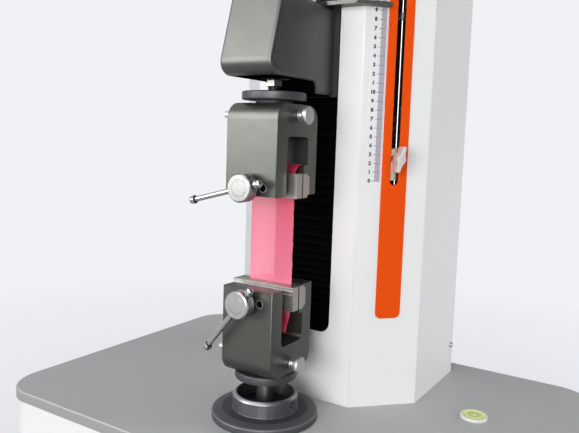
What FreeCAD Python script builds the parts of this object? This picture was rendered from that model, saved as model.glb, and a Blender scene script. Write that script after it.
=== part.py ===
import FreeCAD, Part
import Sketcher

import math
import os
import re

# A single-column tensile tester for film, in millimetres: base with levelling feet, column with a screw-driven
# crosshead, a load cell, and a pair of screw-closed grips. X is to the right, Y to the back, Z up; the origin is
# the middle of the footprint on the table. Heights in the sheet are above the base's top plate.

document = FreeCAD.newDocument("TensileTester")
sheet = document.addObject("Spreadsheet::Sheet", "Sizes")

sizes = {
    # base
    "plateWide": 624, "plateDeep": 422, "plateThick": 12, "plateCorner": 48, "plateBevel": 1.5,
    "housingTall": 148, "housingWall": 2.5, "housingInset": 2, "panThick": 3, "looseFit": 0.3,
    "footTall": 25, "footPad": 46, "footStem": 10, "footInset": 62, "footThreadRise": 18,
    # column
    "columnFront": -18, "columnWide": 260, "columnDeep": 192, "columnChamfer": 60, "columnTall": 1120,
    "columnWall": 2.5, "columnBend": 3, "capThick": 12, "capCorner": 4,
    "slotWide": 80, "slotBottom": 84, "slotTop": 1081, "slotCorner": 13,
    "backReturn": 15, "backFit": 0.3,
    # orange strip, scale and limit rod on the right chamfer, measured along it from the front bend
    "stripStart": 28.2, "stripWide": 30.4, "stripBottom": 107, "stripTop": 1096, "stripThick": 1.2,
    "stripCorner": 7, "rodSlotAlong": 43.3, "rodSlotWide": 10, "rodSlotBottom": 263.4, "rodSlotTop": 1072,
    "rodOffset": 3.6, "rodDeep": 6.2, "rodDiameter": 4.5, "rodLugWide": 18, "rodLugTall": 10, "rodLugWall": 4,
    "rodBelow": 16, "rodAbove": 10, "scaleStart": 8.5, "scaleWide": 17.9,
    "scaleZero": 268, "scaleLong": 620, "scaleMargin": 6, "scaleThick": 0.6,
    "stopTall": 36.5, "stopTongue": 4.9, "stopProud": 1.5, "stopGap": 0.3, "stopWall": 2, "stopNotchUp": 21,
    "stopNotchTall": 7.5, "lowerStopUp": 269, "upperStopUp": 880, "knobAlong": 42.4, "knobHub": 10.4,
    "knobSpan": 30, "knobTip": 3.6, "knobThick": 9.5, "knobStandOff": 15.5, "knobScrew": 4.4, "knobTurn": 14,
    "slideFit": 0.08, "tripRing": 7, "tripThick": 8, "tripBar": 6,
    # drive inside the column
    "screwBehind": 60, "screwDiameter": 16, "journalDiameter": 12, "backboneBehind": 130,
    "backboneThick": 18, "backboneWide": 210, "backboneTall": 1090, "backboneFoot": 24, "backboneFootThick": 14,
    "backboneHole": 44, "railSpread": 140, "railWide": 20, "railTall": 17.5, "railRun": 0.3, "blockWide": 44,
    "blockDeep": 24, "blockMargin": 8, "bearingUp": 45, "bearingTall": 28, "bearingWide": 60,
    "motorSquare": 60, "motorLong": 105, "motorShaft": 11, "couplingDiameter": 32, "couplingUp": 4,
    "couplingTall": 36,
    # crosshead, heights above the hood's underside
    "crossheadUp": 376, "hoodWide": 65, "hoodTall": 85, "hoodReach": 130, "hoodLean": 23.2,
    "hoodLegDeep": 38, "hoodLegDrop": 14, "hoodWall": 3, "hoodNose": 14, "hoodSoft": 4,
    "tongueWide": 77, "tongueDrop": 14.5, "tongueTop": 95, "carriagePlateWide": 190,
    "carriagePlateThick": 15, "armWide": 48, "armThick": 14, "armTop": 80, "armTip": 100,
    "plugDiameter": 19, "plugProud": 0.6, "plugBack": 19, "plugUp": 16.5,
    "cellWide": 50, "cellThick": 20, "cellTall": 58, "cellUp": 6, "cellSlot": 4,
    "nutFlange": 48, "nutBody": 28, "nutLong": 57, "nutFlangeThick": 10,
    "pointerThick": 4, "pointerFront": 20, "pointerGap": 2.5,
    "bellowsWide": 92, "bellowsDeep": 12, "bellowsBehind": 3.3, "bellowsFoot": 74, "bellowsHead": 1096,
    "lowerFolds": 34, "upperFolds": 46, "bellowsRib": 3,
    # grips, heights from the open end inwards
    "gripReach": 70, "gripWide": 65, "gripDeep": 80, "gripTall": 97.5, "gripFrontWall": 19.5,
    "gripRearWall": 19, "gripWindow": 63, "gripCorner": 18, "gripWindowCorner": 5.5, "gripEdge": 1.2,
    "seatProud": 7, "seatTall": 32.5, "lowerGripUp": 152, "upperGripUp": 252,
    "jawWide": 80, "jawTall": 26, "jawThick": 10, "movingJawThick": 12, "jawEase": 0.9, "jawProud": 2, "jawGap": 0.3, "jawKeyTall": 20,
    "jawGrooves": 6, "jawGrooveDeep": 0.8, "jawHole": 3.2, "jawHoleDeep": 5,
    "lowerClampDown": 14, "upperClampDown": 9, "clampShank": 16, "clampHead": 30,
    "clampHeadThick": 14, "clampHeadGap": 6, "clampChamfer": 1.5,
    "guidePin": 8, "guideSpread": 32, "guideRecess": 3, "guideFit": 0.08,
    "tommyDiameter": 6, "tommyCap": 9.5, "tommyCapLong": 9, "tommyTravel": 48, "tommyFit": 0.1,
    "lowerTommyAngle": 231.6, "upperTommyAngle": 195,
    "studDiameter": 20, "socketDeep": 28, "pinDown": 85.5, "pinDiameter": 8, "pinHead": 19,
    "pinHeadThick": 5, "pinHeadOut": 8.5, "pinTail": 34, "pinFit": 0.06,
    "discDiameter": 70, "discThick": 9, "discEdge": 1, "upperDiscGap": 3.5, "upperDiscHub": 40,
    "threadDiameter": 10, "hexAcross": 16, "hexTall": 8, "hexUp": 8.5,
    "flangeDiameter": 120, "flangeThick": 10, "flangeRim": 8, "flangeFlat": 98, "collarDiameter": 74,
    "collarTop": 27.6, "collarChamfer": 3, "collarBore": 64, "collarFloor": 12,
    # specimen, panel, switches and level
    "filmWide": 56, "filmShift": 2, "filmThick": 0.16, "filmTail": 24, "filmHead": 6,
    "panelWide": 200, "panelTall": 112, "panelFromEdge": 162, "panelDrop": 84, "panelProud": 1.8,
    "panelRim": 14, "panelCorner": 8, "screenThick": 4,
    "stopButtonFromEdge": 50, "stopButtonFromFront": 45, "stopButtonCap": 38, "stopButtonBarrel": 22,
    "stopButtonTravel": 4, "stopCollar": 44, "stopCollarThick": 6,
    "inletFromEdge": 112, "inletUp": 60, "inletWide": 48, "inletTall": 30,
    "rockerWide": 13, "rockerTall": 19.5, "rockerTilt": 10, "rockerFromEdge": 162, "rockerPivot": 3,
    "levelAlong": 200.6, "levelBehind": 65.1, "levelDiameter": 32, "levelProud": 3, "levelDeep": 7,
}

for row, (alias, number) in enumerate(sizes.items(), start=1):
    sheet.set(f"A{row}", alias)
    sheet.set(f"B{row}", str(number))
    sheet.setAlias(f"B{row}", alias)
document.recompute()

nodes = {}
constraint = Sketcher.Constraint


def bound(text):
    """The expression with each bare size name turned into its cell in the sheet."""
    return re.sub(r"[A-Za-z]\w*", lambda word: f"Sizes.{word[0]}" if word[0] in sizes else word[0], str(text))


def value(text):
    return float(sheet.evalExpression(bound(text)))


def place(thing, x="0", y="0", z="0", turn=None):
    """Puts a sub-part at x, y, z, turned by (axis, degrees)."""
    if turn:
        axis, degrees = turn
        thing.Placement.Rotation = FreeCAD.Rotation(FreeCAD.Vector(*axis), value(degrees))
    for letter, text in zip("xyz", (x, y, z)):
        thing.setExpression(f".Placement.Base.{letter}", bound(text))


def keep(label, thing):
    thing.Label = label
    nodes[label] = thing
    return thing


def body(label, x="0", y="0", z="0", turn=None):
    made = keep(label, document.addObject("PartDesign::Body", label))
    place(made, x, y, z, turn)
    return made


def sketch(owner, plane, away="0"):
    """A sketch on an origin plane of its own body, moved along the plane's normal by away."""
    made = owner.newObject("Sketcher::SketchObject", "Sketch")
    base = [feature for feature in owner.Origin.OriginFeatures if feature.Role == plane + "_Plane"][0]
    made.AttachmentSupport = [(base, "")]
    made.MapMode = "FlatFace"
    made.setExpression(".AttachmentOffset.Base.z", bound(away))
    return made


def pin(drawn, kind, geometry, point, text):
    index = drawn.addConstraint(constraint(kind, geometry, point, value(text)))
    drawn.setExpression(f"Constraints[{index}]", bound(text))


def outline(drawn, corners):
    """A closed outline of straight lines through corners, each an (x, y) pair of expressions."""
    start = drawn.GeometryCount
    count = len(corners)
    points = [FreeCAD.Vector(value(x), value(y), 0) for x, y in corners]
    for index in range(count):
        drawn.addGeometry(Part.LineSegment(points[index], points[(index + 1) % count]), False)
    for index in range(count):
        drawn.addConstraint(constraint("Coincident", start + index, 2, start + (index + 1) % count, 1))
    for index, (x, y) in enumerate(corners):
        pin(drawn, "DistanceX", start + index, 1, x)
        pin(drawn, "DistanceY", start + index, 1, y)
    return drawn


def rectangle(drawn, x0, y0, x1, y1):
    return outline(drawn, [(x0, y0), (x1, y0), (x1, y1), (x0, y1)])


def roundedRectangle(drawn, halfX, halfY, radius):
    """A rectangle about the origin with its corners as arcs."""
    turns = [(1, 1), (-1, 1), (-1, -1), (1, -1)]
    start = drawn.GeometryCount
    for number, (signX, signY) in enumerate(turns):
        centre = FreeCAD.Vector(signX * value(f"{halfX} - {radius}"), signY * value(f"{halfY} - {radius}"), 0)
        bend = Part.Circle(centre, FreeCAD.Vector(0, 0, 1), value(radius))
        drawn.addGeometry(Part.ArcOfCircle(bend, number * math.pi / 2, (number + 1) * math.pi / 2), False)
    for number in range(4):
        following = start + (number + 1) % 4
        ends = drawn.getPoint(start + number, 2), drawn.getPoint(following, 1)
        line = drawn.addGeometry(Part.LineSegment(*ends), False)
        drawn.addConstraint(constraint("Coincident", line, 1, start + number, 2))
        drawn.addConstraint(constraint("Coincident", line, 2, following, 1))
    for number, (signX, signY) in enumerate(turns):
        sideX, sideY = ("-" if signX < 0 else ""), ("-" if signY < 0 else "")
        pin(drawn, "DistanceX", start + number, 3, f"{sideX}({halfX} - {radius})")
        pin(drawn, "DistanceY", start + number, 3, f"{sideY}({halfY} - {radius})")
        onY, onX = (1, 2) if number % 2 == 0 else (2, 1)
        pin(drawn, "DistanceX", start + number, onX, f"{sideX}({halfX} - {radius})")
        pin(drawn, "DistanceY", start + number, onY, f"{sideY}({halfY} - {radius})")
        index = drawn.addConstraint(constraint("Radius", start + number, value(radius)))
        drawn.setExpression(f"Constraints[{index}]", bound(radius))
    return drawn


def circle(drawn, x, y, diameter):
    index = drawn.addGeometry(
        Part.Circle(FreeCAD.Vector(value(x), value(y), 0), FreeCAD.Vector(0, 0, 1), value(diameter) / 2), False)
    pin(drawn, "DistanceX", index, 3, x)
    pin(drawn, "DistanceY", index, 3, y)
    number = drawn.addConstraint(constraint("Diameter", index, value(diameter)))
    drawn.setExpression(f"Constraints[{number}]", bound(diameter))
    return drawn


def pad(owner, drawn, length):
    made = owner.newObject("PartDesign::Pad", "Pad")
    made.Profile = drawn
    made.setExpression("Length", bound(length))
    return made


def cut(owner, drawn, length):
    """Cuts along the sketch's normal, and makes sure that something went."""
    document.recompute()
    before = owner.Shape.Volume
    made = owner.newObject("PartDesign::Pocket", "Pocket")
    made.Profile = drawn
    made.Reversed = True
    made.setExpression("Length", bound(length))
    document.recompute()
    if owner.Shape.Volume > before - 1e-3:
        raise ValueError(f"{owner.Label}: a pocket cuts nothing")
    return made


def revolve(owner, drawn):
    made = owner.newObject("PartDesign::Revolution", "Revolution")
    made.Profile = drawn
    made.ReferenceAxis = (drawn, ["V_Axis"])
    made.Angle = 360
    return made


def dress(owner, kind, size, wanted):
    """A fillet or chamfer on the edges of the body so far for which wanted(edge) is true."""
    document.recompute()
    base = owner.Tip
    names = [f"Edge{number}" for number, edge in enumerate(base.Shape.Edges, start=1) if wanted(edge)]
    if not names:
        raise ValueError(f"{owner.Label}: no edge to dress")
    made = owner.newObject(f"PartDesign::{kind}", kind)
    made.Base = (base, names)
    made.setExpression("Radius" if kind == "Fillet" else "Size", bound(size))
    return made


def along(edge, axis):
    """Whether a straight edge runs along an axis, given as x, y or z."""
    if edge.Curve.TypeId != "Part::GeomLine":
        return False
    return abs(getattr(edge.tangentAt(edge.FirstParameter), axis)) > 0.999


def near(number, text):
    return abs(number - value(text)) < 0.01


def middle(edge):
    return edge.valueAt((edge.FirstParameter + edge.LastParameter) / 2)


def block(name, x, y, z, length, width, height):
    made = document.addObject("Part::Box", name)
    for label, text in zip(("Length", "Width", "Height"), (length, width, height)):
        made.setExpression(label, bound(text))
    place(made, x, y, z)
    return made


def cylinder(name, x, y, z, diameter, height, turn=None):
    made = document.addObject("Part::Cylinder", name)
    made.setExpression("Radius", bound(f"({diameter}) / 2"))
    made.setExpression("Height", bound(height))
    place(made, x, y, z, turn)
    return made


def join(name, *pieces):
    made = document.addObject("Part::MultiFuse", name)
    made.Shapes = list(pieces)
    return made


def subtract(name, base, tool):
    made = document.addObject("Part::Cut", name)
    made.Base = base
    made.Tool = tool
    return made


def group(name, *pieces):
    """Separate solids that share one node."""
    made = document.addObject("Part::Compound", name)
    made.Links = list(pieces)
    return made


towardRight = ((0, 1, 0), "90")
ontoChamfer = ((0, 0, 1), "45")

plateTop = "(footTall + housingTall + plateThick)"
plateUnder = "(footTall + housingTall)"
gripAxis = "(columnFront - gripReach)"
panelAlong = "(plateWide / 2 - panelFromEdge)"
stopButtonAlong = "(plateWide / 2 - stopButtonFromEdge)"
inletAlong = "(-plateWide / 2 + inletFromEdge)"
rockerAlong = "(-plateWide / 2 + rockerFromEdge)"
rodAlong = "(rodSlotAlong + rodOffset)"
screwAxis = "(columnFront + screwBehind)"
backboneFront = "(columnFront + backboneBehind)"
columnBack = "(columnFront + columnDeep)"
crosshead = f"({plateTop} + crossheadUp)"


# base

def roundedSlab(label, wide, deep, corner, bottom, thick):
    slab = body(label, z=bottom)
    pad(slab, rectangle(sketch(slab, "XY"), f"-({wide}) / 2", f"-({deep}) / 2", f"({wide}) / 2", f"({deep}) / 2"),
        thick)
    dress(slab, "Fillet", corner, lambda edge: along(edge, "z"))
    return slab


def topPlate():
    plate = roundedSlab("base_top_plate", "plateWide", "plateDeep", "plateCorner", plateUnder, "plateThick")
    dress(plate, "Chamfer", "plateBevel", lambda edge: near(edge.BoundBox.ZMin, "plateThick"))
    holes = sketch(plate, "XY")
    circle(holes, "0", gripAxis, "studDiameter + 2")
    circle(holes, "0", screwAxis, "couplingDiameter + 8")
    circle(holes, stopButtonAlong, "-plateDeep / 2 + stopButtonFromFront", "stopButtonBarrel + 0.4")
    cut(plate, holes, "plateThick")
    recess = circle(sketch(plate, "XY", "plateThick - levelDeep"), "levelAlong",
                    "columnFront + levelBehind", "levelDiameter - 3.6")
    cut(plate, recess, "levelDeep")


def housing():
    """The sheet-metal skirt under the top plate, with openings for the panel, the inlet, the switch and air."""
    wide = "(plateWide - 2 * housingInset)"
    deep = "(plateDeep - 2 * housingInset)"
    skirt = roundedSlab("base_housing", wide, deep, "plateCorner - housingInset", "footTall", "housingTall")
    inside = roundedRectangle(sketch(skirt, "XY"), f"({wide} / 2 - housingWall)", f"({deep} / 2 - housingWall)",
                              "(plateCorner - housingInset - housingWall)")
    cut(skirt, inside, "housingTall")
    front = sketch(skirt, "XZ", f"{deep} / 2 - housingWall - 1")
    middleUp = "housingTall + plateThick - panelDrop"
    rectangle(front, f"{panelAlong} - panelWide / 2 + panelRim / 2", f"{middleUp} - panelTall / 2 + panelRim / 2",
              f"{panelAlong} + panelWide / 2 - panelRim / 2", f"{middleUp} + panelTall / 2 - panelRim / 2")
    cut(skirt, front, "housingWall + 2")
    rear = sketch(skirt, "XZ", f"-{deep} / 2 - 1")
    rectangle(rear, f"{inletAlong} - inletWide / 2 + 4", "inletUp - inletTall / 2 + 2",
              f"{inletAlong} + inletWide / 2 - 4", "inletUp + inletTall / 2 - 2")
    rectangle(rear, f"{rockerAlong} - rockerWide / 2 - looseFit", "inletUp - rockerTall / 2 - looseFit",
              f"{rockerAlong} + rockerWide / 2 + looseFit", "inletUp + rockerTall / 2 + looseFit")
    ventPitch = 14
    for count in range(12):
        left = 40 + count * ventPitch
        rectangle(rear, f"{left}", "housingTall / 2 - 30", f"{left} + 6", "housingTall / 2 + 30")
    cut(skirt, rear, "housingWall + 2")


def footPlaces():
    for side, x in (("left", "-(plateWide / 2 - footInset)"), ("right", "plateWide / 2 - footInset")):
        for end, y in (("front", "-(plateDeep / 2 - footInset)"), ("rear", "plateDeep / 2 - footInset")):
            yield f"levelling_foot_{end}_{side}", x, y


def pan():
    gap = "(2 * housingInset + 2 * housingWall + 2 * looseFit)"
    plate = roundedSlab("base_pan", f"plateWide - {gap}", f"plateDeep - {gap}",
                        "plateCorner - housingInset - housingWall", "footTall", "panThick")
    holes = sketch(plate, "XY")
    for _, x, y in footPlaces():
        circle(holes, x, y, "footStem + 2 * looseFit")
    cut(plate, holes, "panThick")


def foot(label, x, y):
    """A turned levelling foot: rubber-faced pad, neck, adjusting collar and threaded stem."""
    turned = body(label, x, y)
    profile = sketch(turned, "XZ")
    outline(profile, [
        ("0", "0"), ("footPad / 2 - 2", "0"), ("footPad / 2", "2"), ("footPad / 2", "8"),
        ("footPad / 2 - 8", "11"), ("footStem / 2 + 1", "12"), ("footStem / 2 + 1", "footTall - 6"),
        ("footStem", "footTall - 6"), ("footStem", "footTall"), ("footStem / 2", "footTall"),
        ("footStem / 2", "footTall + footThreadRise"), ("0", "footTall + footThreadRise")])
    revolve(turned, profile)


def controlPanel():
    wall = "plateDeep / 2 - housingInset"
    middleUp = f"({plateTop} - panelDrop)"
    bezel = body("control_panel_bezel", panelAlong, f"-({wall})", middleUp)
    face = sketch(bezel, "XZ")
    rectangle(face, "-panelWide / 2", "-panelTall / 2", "panelWide / 2", "panelTall / 2")
    pad(bezel, face, "panelProud")
    dress(bezel, "Fillet", "panelCorner", lambda edge: along(edge, "y"))
    tub = sketch(bezel, "XZ", "-housingWall - screenThick")
    rectangle(tub, "-panelWide / 2 + panelRim / 2 + looseFit", "-panelTall / 2 + panelRim / 2 + looseFit",
              "panelWide / 2 - panelRim / 2 - looseFit", "panelTall / 2 - panelRim / 2 - looseFit")
    pad(bezel, tub, "housingWall + screenThick")
    window = sketch(bezel, "XZ", "panelProud - screenThick")
    rectangle(window, "-panelWide / 2 + panelRim", "-panelTall / 2 + panelRim",
              "panelWide / 2 - panelRim", "panelTall / 2 - panelRim")
    cut(bezel, window, "screenThick")
    screen = body("touch_screen", panelAlong, f"-({wall})", middleUp)
    glass = sketch(screen, "XZ", "panelProud - screenThick")
    rectangle(glass, "-panelWide / 2 + panelRim", "-panelTall / 2 + panelRim",
              "panelWide / 2 - panelRim", "panelTall / 2 - panelRim")
    pad(screen, glass, "screenThick - 0.6")


def emergencyStop():
    x, y = stopButtonAlong, "-plateDeep / 2 + stopButtonFromFront"
    collar = body("emergency_stop_collar", x, y, plateTop)
    profile = sketch(collar, "XZ")
    inner = "stopButtonBarrel / 2 - 3"
    outline(profile, [
        (inner, "-28"), ("stopButtonBarrel / 2", "-28"), ("stopButtonBarrel / 2", "0"), ("stopCollar / 2", "0"),
        ("stopCollar / 2", "stopCollarThick - 2"), ("stopCollar / 2 - 2", "stopCollarThick"),
        (inner, "stopCollarThick")])
    revolve(collar, profile)
    button = body("emergency_stop_button", x, y, plateTop)
    mushroom = sketch(button, "XZ")
    under = "stopCollarThick + stopButtonTravel + 0.5"
    stem = "stopButtonBarrel / 2 - 3.3"
    outline(mushroom, [
        ("0", "-20"), (stem, "-20"), (stem, under), ("stopButtonCap / 2 - 1", under),
        ("stopButtonCap / 2", f"{under} + 2"), ("stopButtonCap / 2", f"{under} + 8"),
        ("stopButtonCap / 2 - 5", f"{under} + 12.5"), ("0", f"{under} + 14")])
    revolve(button, mushroom)
    dress(button, "Fillet", "2.5", lambda edge: near(edge.BoundBox.ZMin, f"{under} + 12.5")
          and near(edge.BoundBox.ZMax, f"{under} + 12.5"))


def rearFittings():
    wall = "plateDeep / 2 - housingInset"
    up = "footTall + inletUp"
    inlet = body("mains_inlet", inletAlong, wall, up)
    flange = sketch(inlet, "XZ", "-1.8")
    rectangle(flange, "-inletWide / 2", "-inletTall / 2", "inletWide / 2", "inletTall / 2")
    pad(inlet, flange, "1.8")
    dress(inlet, "Fillet", "4", lambda edge: along(edge, "y"))
    tub = sketch(inlet, "XZ", "0")
    rectangle(tub, "-inletWide / 2 + 4 + looseFit", "-inletTall / 2 + 2 + looseFit",
              "inletWide / 2 - 4 - looseFit", "inletTall / 2 - 2 - looseFit")
    pad(inlet, tub, "22")
    mouth = sketch(inlet, "XZ", "-1.8")
    outline(mouth, [("-12", "-8"), ("12", "-8"), ("12", "4"), ("8", "8"), ("-8", "8"), ("-12", "4")])
    cut(inlet, mouth, "17")
    contacts = sketch(inlet, "XZ", "0")
    for x, y in (("-7", "-3"), ("7", "-3"), ("0", "3")):
        rectangle(contacts, f"{x} - 1", f"{y} - 2", f"{x} + 1", f"{y} + 2")
    pad(inlet, contacts, "16")
    rocker = body("power_rocker", rockerAlong, f"{wall} - 7", up, ((1, 0, 0), "rockerTilt"))
    side = sketch(rocker, "YZ", "-rockerWide / 2 + looseFit")
    half = "(rockerTall / 2 - 1.2)"
    outline(side, [("-4", f"-{half} * 0.5"), ("-4", f"{half} * 0.5"), ("4", half), ("7", half), ("5.6", "0"),
                   ("7", f"-{half}"), ("4", f"-{half}")])
    pad(rocker, side, "rockerWide - 2 * looseFit")
    pad(rocker, circle(sketch(rocker, "YZ", "-rockerWide / 2 - 1.5"), "0", "0", "rockerPivot"), "rockerWide + 3")


def level():
    """The round spirit level: cup let into the plate, flange, domed glass."""
    vial = body("bullseye_level", "levelAlong", "columnFront + levelBehind", plateTop)
    profile = sketch(vial, "XZ")
    outline(profile, [
        ("0", "-levelDeep + 0.5"), ("levelDiameter / 2 - 2", "-levelDeep + 0.5"), ("levelDiameter / 2 - 2", "0"),
        ("levelDiameter / 2", "0"), ("levelDiameter / 2", "levelProud - 1"),
        ("levelDiameter / 2 - 1", "levelProud"), ("levelDiameter / 2 - 3.5", "levelProud"),
        ("levelDiameter / 2 - 5", "levelProud - 0.8"), ("levelDiameter / 4", "levelProud - 0.3"),
        ("0", "levelProud")])
    revolve(vial, profile)


# column

def columnOutline(drawn, inset, back):
    """Front face, two 45 degree chamfers and two sides, inset by a wall."""
    step = f"({inset}) * tan(22.5 deg)"
    front = f"(columnWide / 2 - columnChamfer - {step})"
    side = f"(columnWide / 2 - ({inset}))"
    bend = f"(columnChamfer + {step})"
    return outline(drawn, [
        (f"-{front}", inset), (front, inset), (side, bend), (side, back), (f"-{side}", back), (f"-{side}", bend)])


def columnCover():
    cover = body("column_cover", y="columnFront", z=plateTop)
    pad(cover, columnOutline(sketch(cover, "XY"), "0", "columnDeep"), "columnTall")
    dress(cover, "Fillet", "columnBend", lambda edge: along(edge, "z") and middle(edge).y < value("columnChamfer + 1"))
    cut(cover, columnOutline(sketch(cover, "XY"), "columnWall", "columnDeep + 1"), "columnTall")
    slot = sketch(cover, "XZ", "-columnWall - 1")
    rectangle(slot, "-slotWide / 2", "slotBottom", "slotWide / 2", "slotTop")
    cut(cover, slot, "columnWall + 2")
    dress(cover, "Fillet", "slotCorner", lambda edge: along(edge, "y") and abs(middle(edge).x) < value("slotWide / 2 + 1")
          and middle(edge).y < value("columnWall"))
    long = document.addObject("Part::Box", "RodSlot")
    long.setExpression("Length", bound("rodSlotWide + 5"))
    long.setExpression("Width", bound("columnWall + 6"))
    long.setExpression("Height", bound("rodSlotTop - rodSlotBottom + 6"))
    across = "(rodSlotAlong - rodSlotWide / 2 - 2.5)"
    place(long, f"columnWide / 2 - columnChamfer + ({across} + 3) * cos(45 deg)",
          f"columnFront + ({across} - 3) * cos(45 deg)", f"{plateTop} + rodSlotBottom - 3", ontoChamfer)
    del nodes["column_cover"]
    cover.Label = "column_cover_blank"
    keep("column_cover", subtract("ColumnCover", cover, long))


def columnCap():
    cap = body("column_cap", y="columnFront", z=f"{plateTop} + columnTall")
    pad(cap, columnOutline(sketch(cap, "XY"), "0", "columnDeep"), "capThick")
    dress(cap, "Fillet", "columnBend", lambda edge: along(edge, "z"))
    dress(cap, "Fillet", "capCorner", lambda edge: near(edge.BoundBox.ZMin, "capThick"))
    lip = columnOutline(sketch(cap, "XY", "-8"), "columnWall + looseFit", "columnDeep - columnWall - 2 * looseFit")
    pad(cap, lip, "8")


def columnBack():
    """The service cover that closes the column's back, with side returns and air slots."""
    cover = body("column_back_cover", y="columnFront", z=plateTop)
    half = "(columnWide / 2 - columnWall - backFit)"
    channel = sketch(cover, "XY")
    outer = "columnDeep"
    inner = "(columnDeep - columnWall)"
    lip = "(columnDeep - backReturn)"
    thin = f"({half} - columnWall)"
    outline(channel, [
        (f"-{half}", lip), (f"-{thin}", lip), (f"-{thin}", inner), (thin, inner), (thin, lip), (half, lip),
        (half, outer), (f"-{half}", outer)])
    pad(cover, channel, "columnTall - 8 - looseFit")
    slots = sketch(cover, "XZ", "-columnDeep - 1")
    for count in range(9):
        for low in ("80", "columnTall - 160"):
            rectangle(slots, "-60", f"{low} + {count * 9}", "60", f"{low} + {count * 9 + 4}")
    cut(cover, slots, "columnWall + 2")
    screws = []
    for up in ("40", "columnTall / 2", "columnTall - 60"):
        for side in ("-", ""):
            outward = ((0, 1, 0), "90" if side == "" else "-90")
            head = cylinder("CoverScrew", f"{side}(columnWide / 2)", "columnFront + columnDeep - backReturn / 2",
                            f"{plateTop} + {up}", "7", "2", outward)
            screws.append(head)
    keep("cover_screws", group("CoverScrews", *screws))


def chamferBody(label, z=plateTop):
    """A body in the right chamfer's own frame: x along the chamfer, y into the column."""
    return body(label, "columnWide / 2 - columnChamfer", "columnFront", z, ontoChamfer)


def sideStrip():
    strip = chamferBody("side_strip")
    face = sketch(strip, "XZ")
    rectangle(face, "stripStart", "stripBottom", "stripStart + stripWide", "stripTop")
    pad(strip, face, "stripThick")
    dress(strip, "Fillet", "stripCorner", lambda edge: along(edge, "y"))
    opening = sketch(strip, "XZ")
    rectangle(opening, "rodSlotAlong - rodSlotWide / 2", "rodSlotBottom", "rodSlotAlong + rodSlotWide / 2",
              "rodSlotTop")
    cut(strip, opening, "stripThick")
    dress(strip, "Fillet", "rodSlotWide / 2 - 0.01", lambda edge: along(edge, "y")
          and abs(middle(edge).x - value("rodSlotAlong")) < value("rodSlotWide / 2 + 0.5"))


def ruler():
    scale = chamferBody("ruler_scale")
    face = sketch(scale, "XZ")
    rectangle(face, "scaleStart", "scaleZero - scaleMargin", "scaleStart + scaleWide",
              "scaleZero + scaleLong + scaleMargin")
    pad(scale, face, "scaleThick")


def limitRod():
    """The polished rod that carries the travel stops, with a foot at each end inside the column's wall."""
    rod = chamferBody("limit_rod")
    low, high = "(rodSlotBottom - rodBelow)", "(rodSlotTop + rodAbove)"
    pad(rod, circle(sketch(rod, "XY", low), rodAlong, "rodDeep", "rodDiameter"), f"{high} - {low}")
    for base in (low, f"{high} - rodLugTall"):
        lug = sketch(rod, "XY", base)
        rectangle(lug, f"{rodAlong} - rodLugWide / 2", "columnWall", f"{rodAlong} + rodLugWide / 2",
                  "rodDeep + rodDiameter / 2 + rodLugWall")
        pad(rod, lug, "rodLugTall")


def stopAndKnob(name, up):
    """A travel stop: a slider on the rod behind the wall, a tongue out through the slot, and its clamp knob."""
    lift = f"{plateTop} + {up}"
    stop = chamferBody(f"{name}_limit_stop", lift)
    left = "(rodSlotAlong - rodSlotWide / 2 + stopGap)"
    inner, front = "(columnWall + stopGap)", "-(stripThick + stopProud)"
    slider = sketch(stop, "XY")
    rectangle(slider, left, inner, f"{rodAlong} + rodDiameter / 2 + stopWall", "rodDeep + rodDiameter / 2 + stopWall")
    pad(stop, slider, "stopTall")
    tongue = sketch(stop, "YZ", left)
    notch, over = "stopNotchUp", "(stopNotchUp + stopNotchTall)"
    outline(tongue, [
        (f"{inner} + 1", "0"), (f"{inner} + 1", "stopTall"), (front, "stopTall"), (front, over), (inner, over),
        (inner, notch), (front, notch), (front, "0")])
    pad(stop, tongue, "stopTongue")
    dress(stop, "Chamfer", "0.6", lambda edge: along(edge, "x") and near(middle(edge).y, front))
    cut(stop, circle(sketch(stop, "XY"), rodAlong, "rodDeep", "rodDiameter + 2 * slideFit"), "stopTall")
    middleUp = "(stopNotchUp + stopNotchTall / 2)"
    cut(stop, circle(sketch(stop, "XZ", "-rodDeep - rodDiameter"), "knobAlong", middleUp, "knobScrew + 2 * slideFit"),
        "rodDeep + rodDiameter")
    knob = body(f"{name}_stop_knob", "columnWide / 2 - columnChamfer + knobAlong * cos(45 deg)",
                "columnFront + knobAlong * cos(45 deg)", f"{lift} + {middleUp}")
    knob.Placement.Rotation = FreeCAD.Rotation(45, value("knobTurn"), 0)
    pad(knob, circle(sketch(knob, "XZ", "-rodDeep"), "0", "0", "knobScrew"), "rodDeep + knobStandOff + 2")
    pad(knob, circle(sketch(knob, "XZ", "knobStandOff"), "0", "0", "knobHub"), "knobThick")
    wings = sketch(knob, "XZ", "knobStandOff")
    tip, end, waist = "knobTip / 2", "knobSpan / 2", "(knobHub / 2 - 0.3)"
    outline(wings, [(f"-{tip}", f"-{end}"), (tip, f"-{end}"), (waist, "0"), (tip, end), (f"-{tip}", end),
                    (f"-{waist}", "0")])
    pad(knob, wings, "knobThick")
    dress(knob, "Fillet", "knobTip / 2 - 0.3", lambda edge: along(edge, "y")
          and abs(middle(edge).z) > value("knobSpan / 2 - 1"))


# drive

def backbone():
    """The aluminium back plate that carries the rails, with its foot and two gussets."""
    spine = body("column_backbone", z=plateTop)
    profile = sketch(spine, "YZ", "-backboneWide / 2")
    front, back = backboneFront, f"({backboneFront} + backboneThick)"
    outline(profile, [
        (front, "0"), (f"{back} + backboneFoot", "0"), (f"{back} + backboneFoot", "backboneFootThick"),
        (back, "backboneFootThick"), (back, "backboneTall"),
        (front, "backboneTall")])
    pad(spine, profile, "backboneWide")
    holes = sketch(spine, "XZ", f"-({back}) - 1")
    for count in range(6):
        circle(holes, "0", f"backboneTall * {0.16 + 0.14 * count}", "backboneHole")
    cut(spine, holes, "backboneThick + 2")


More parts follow.
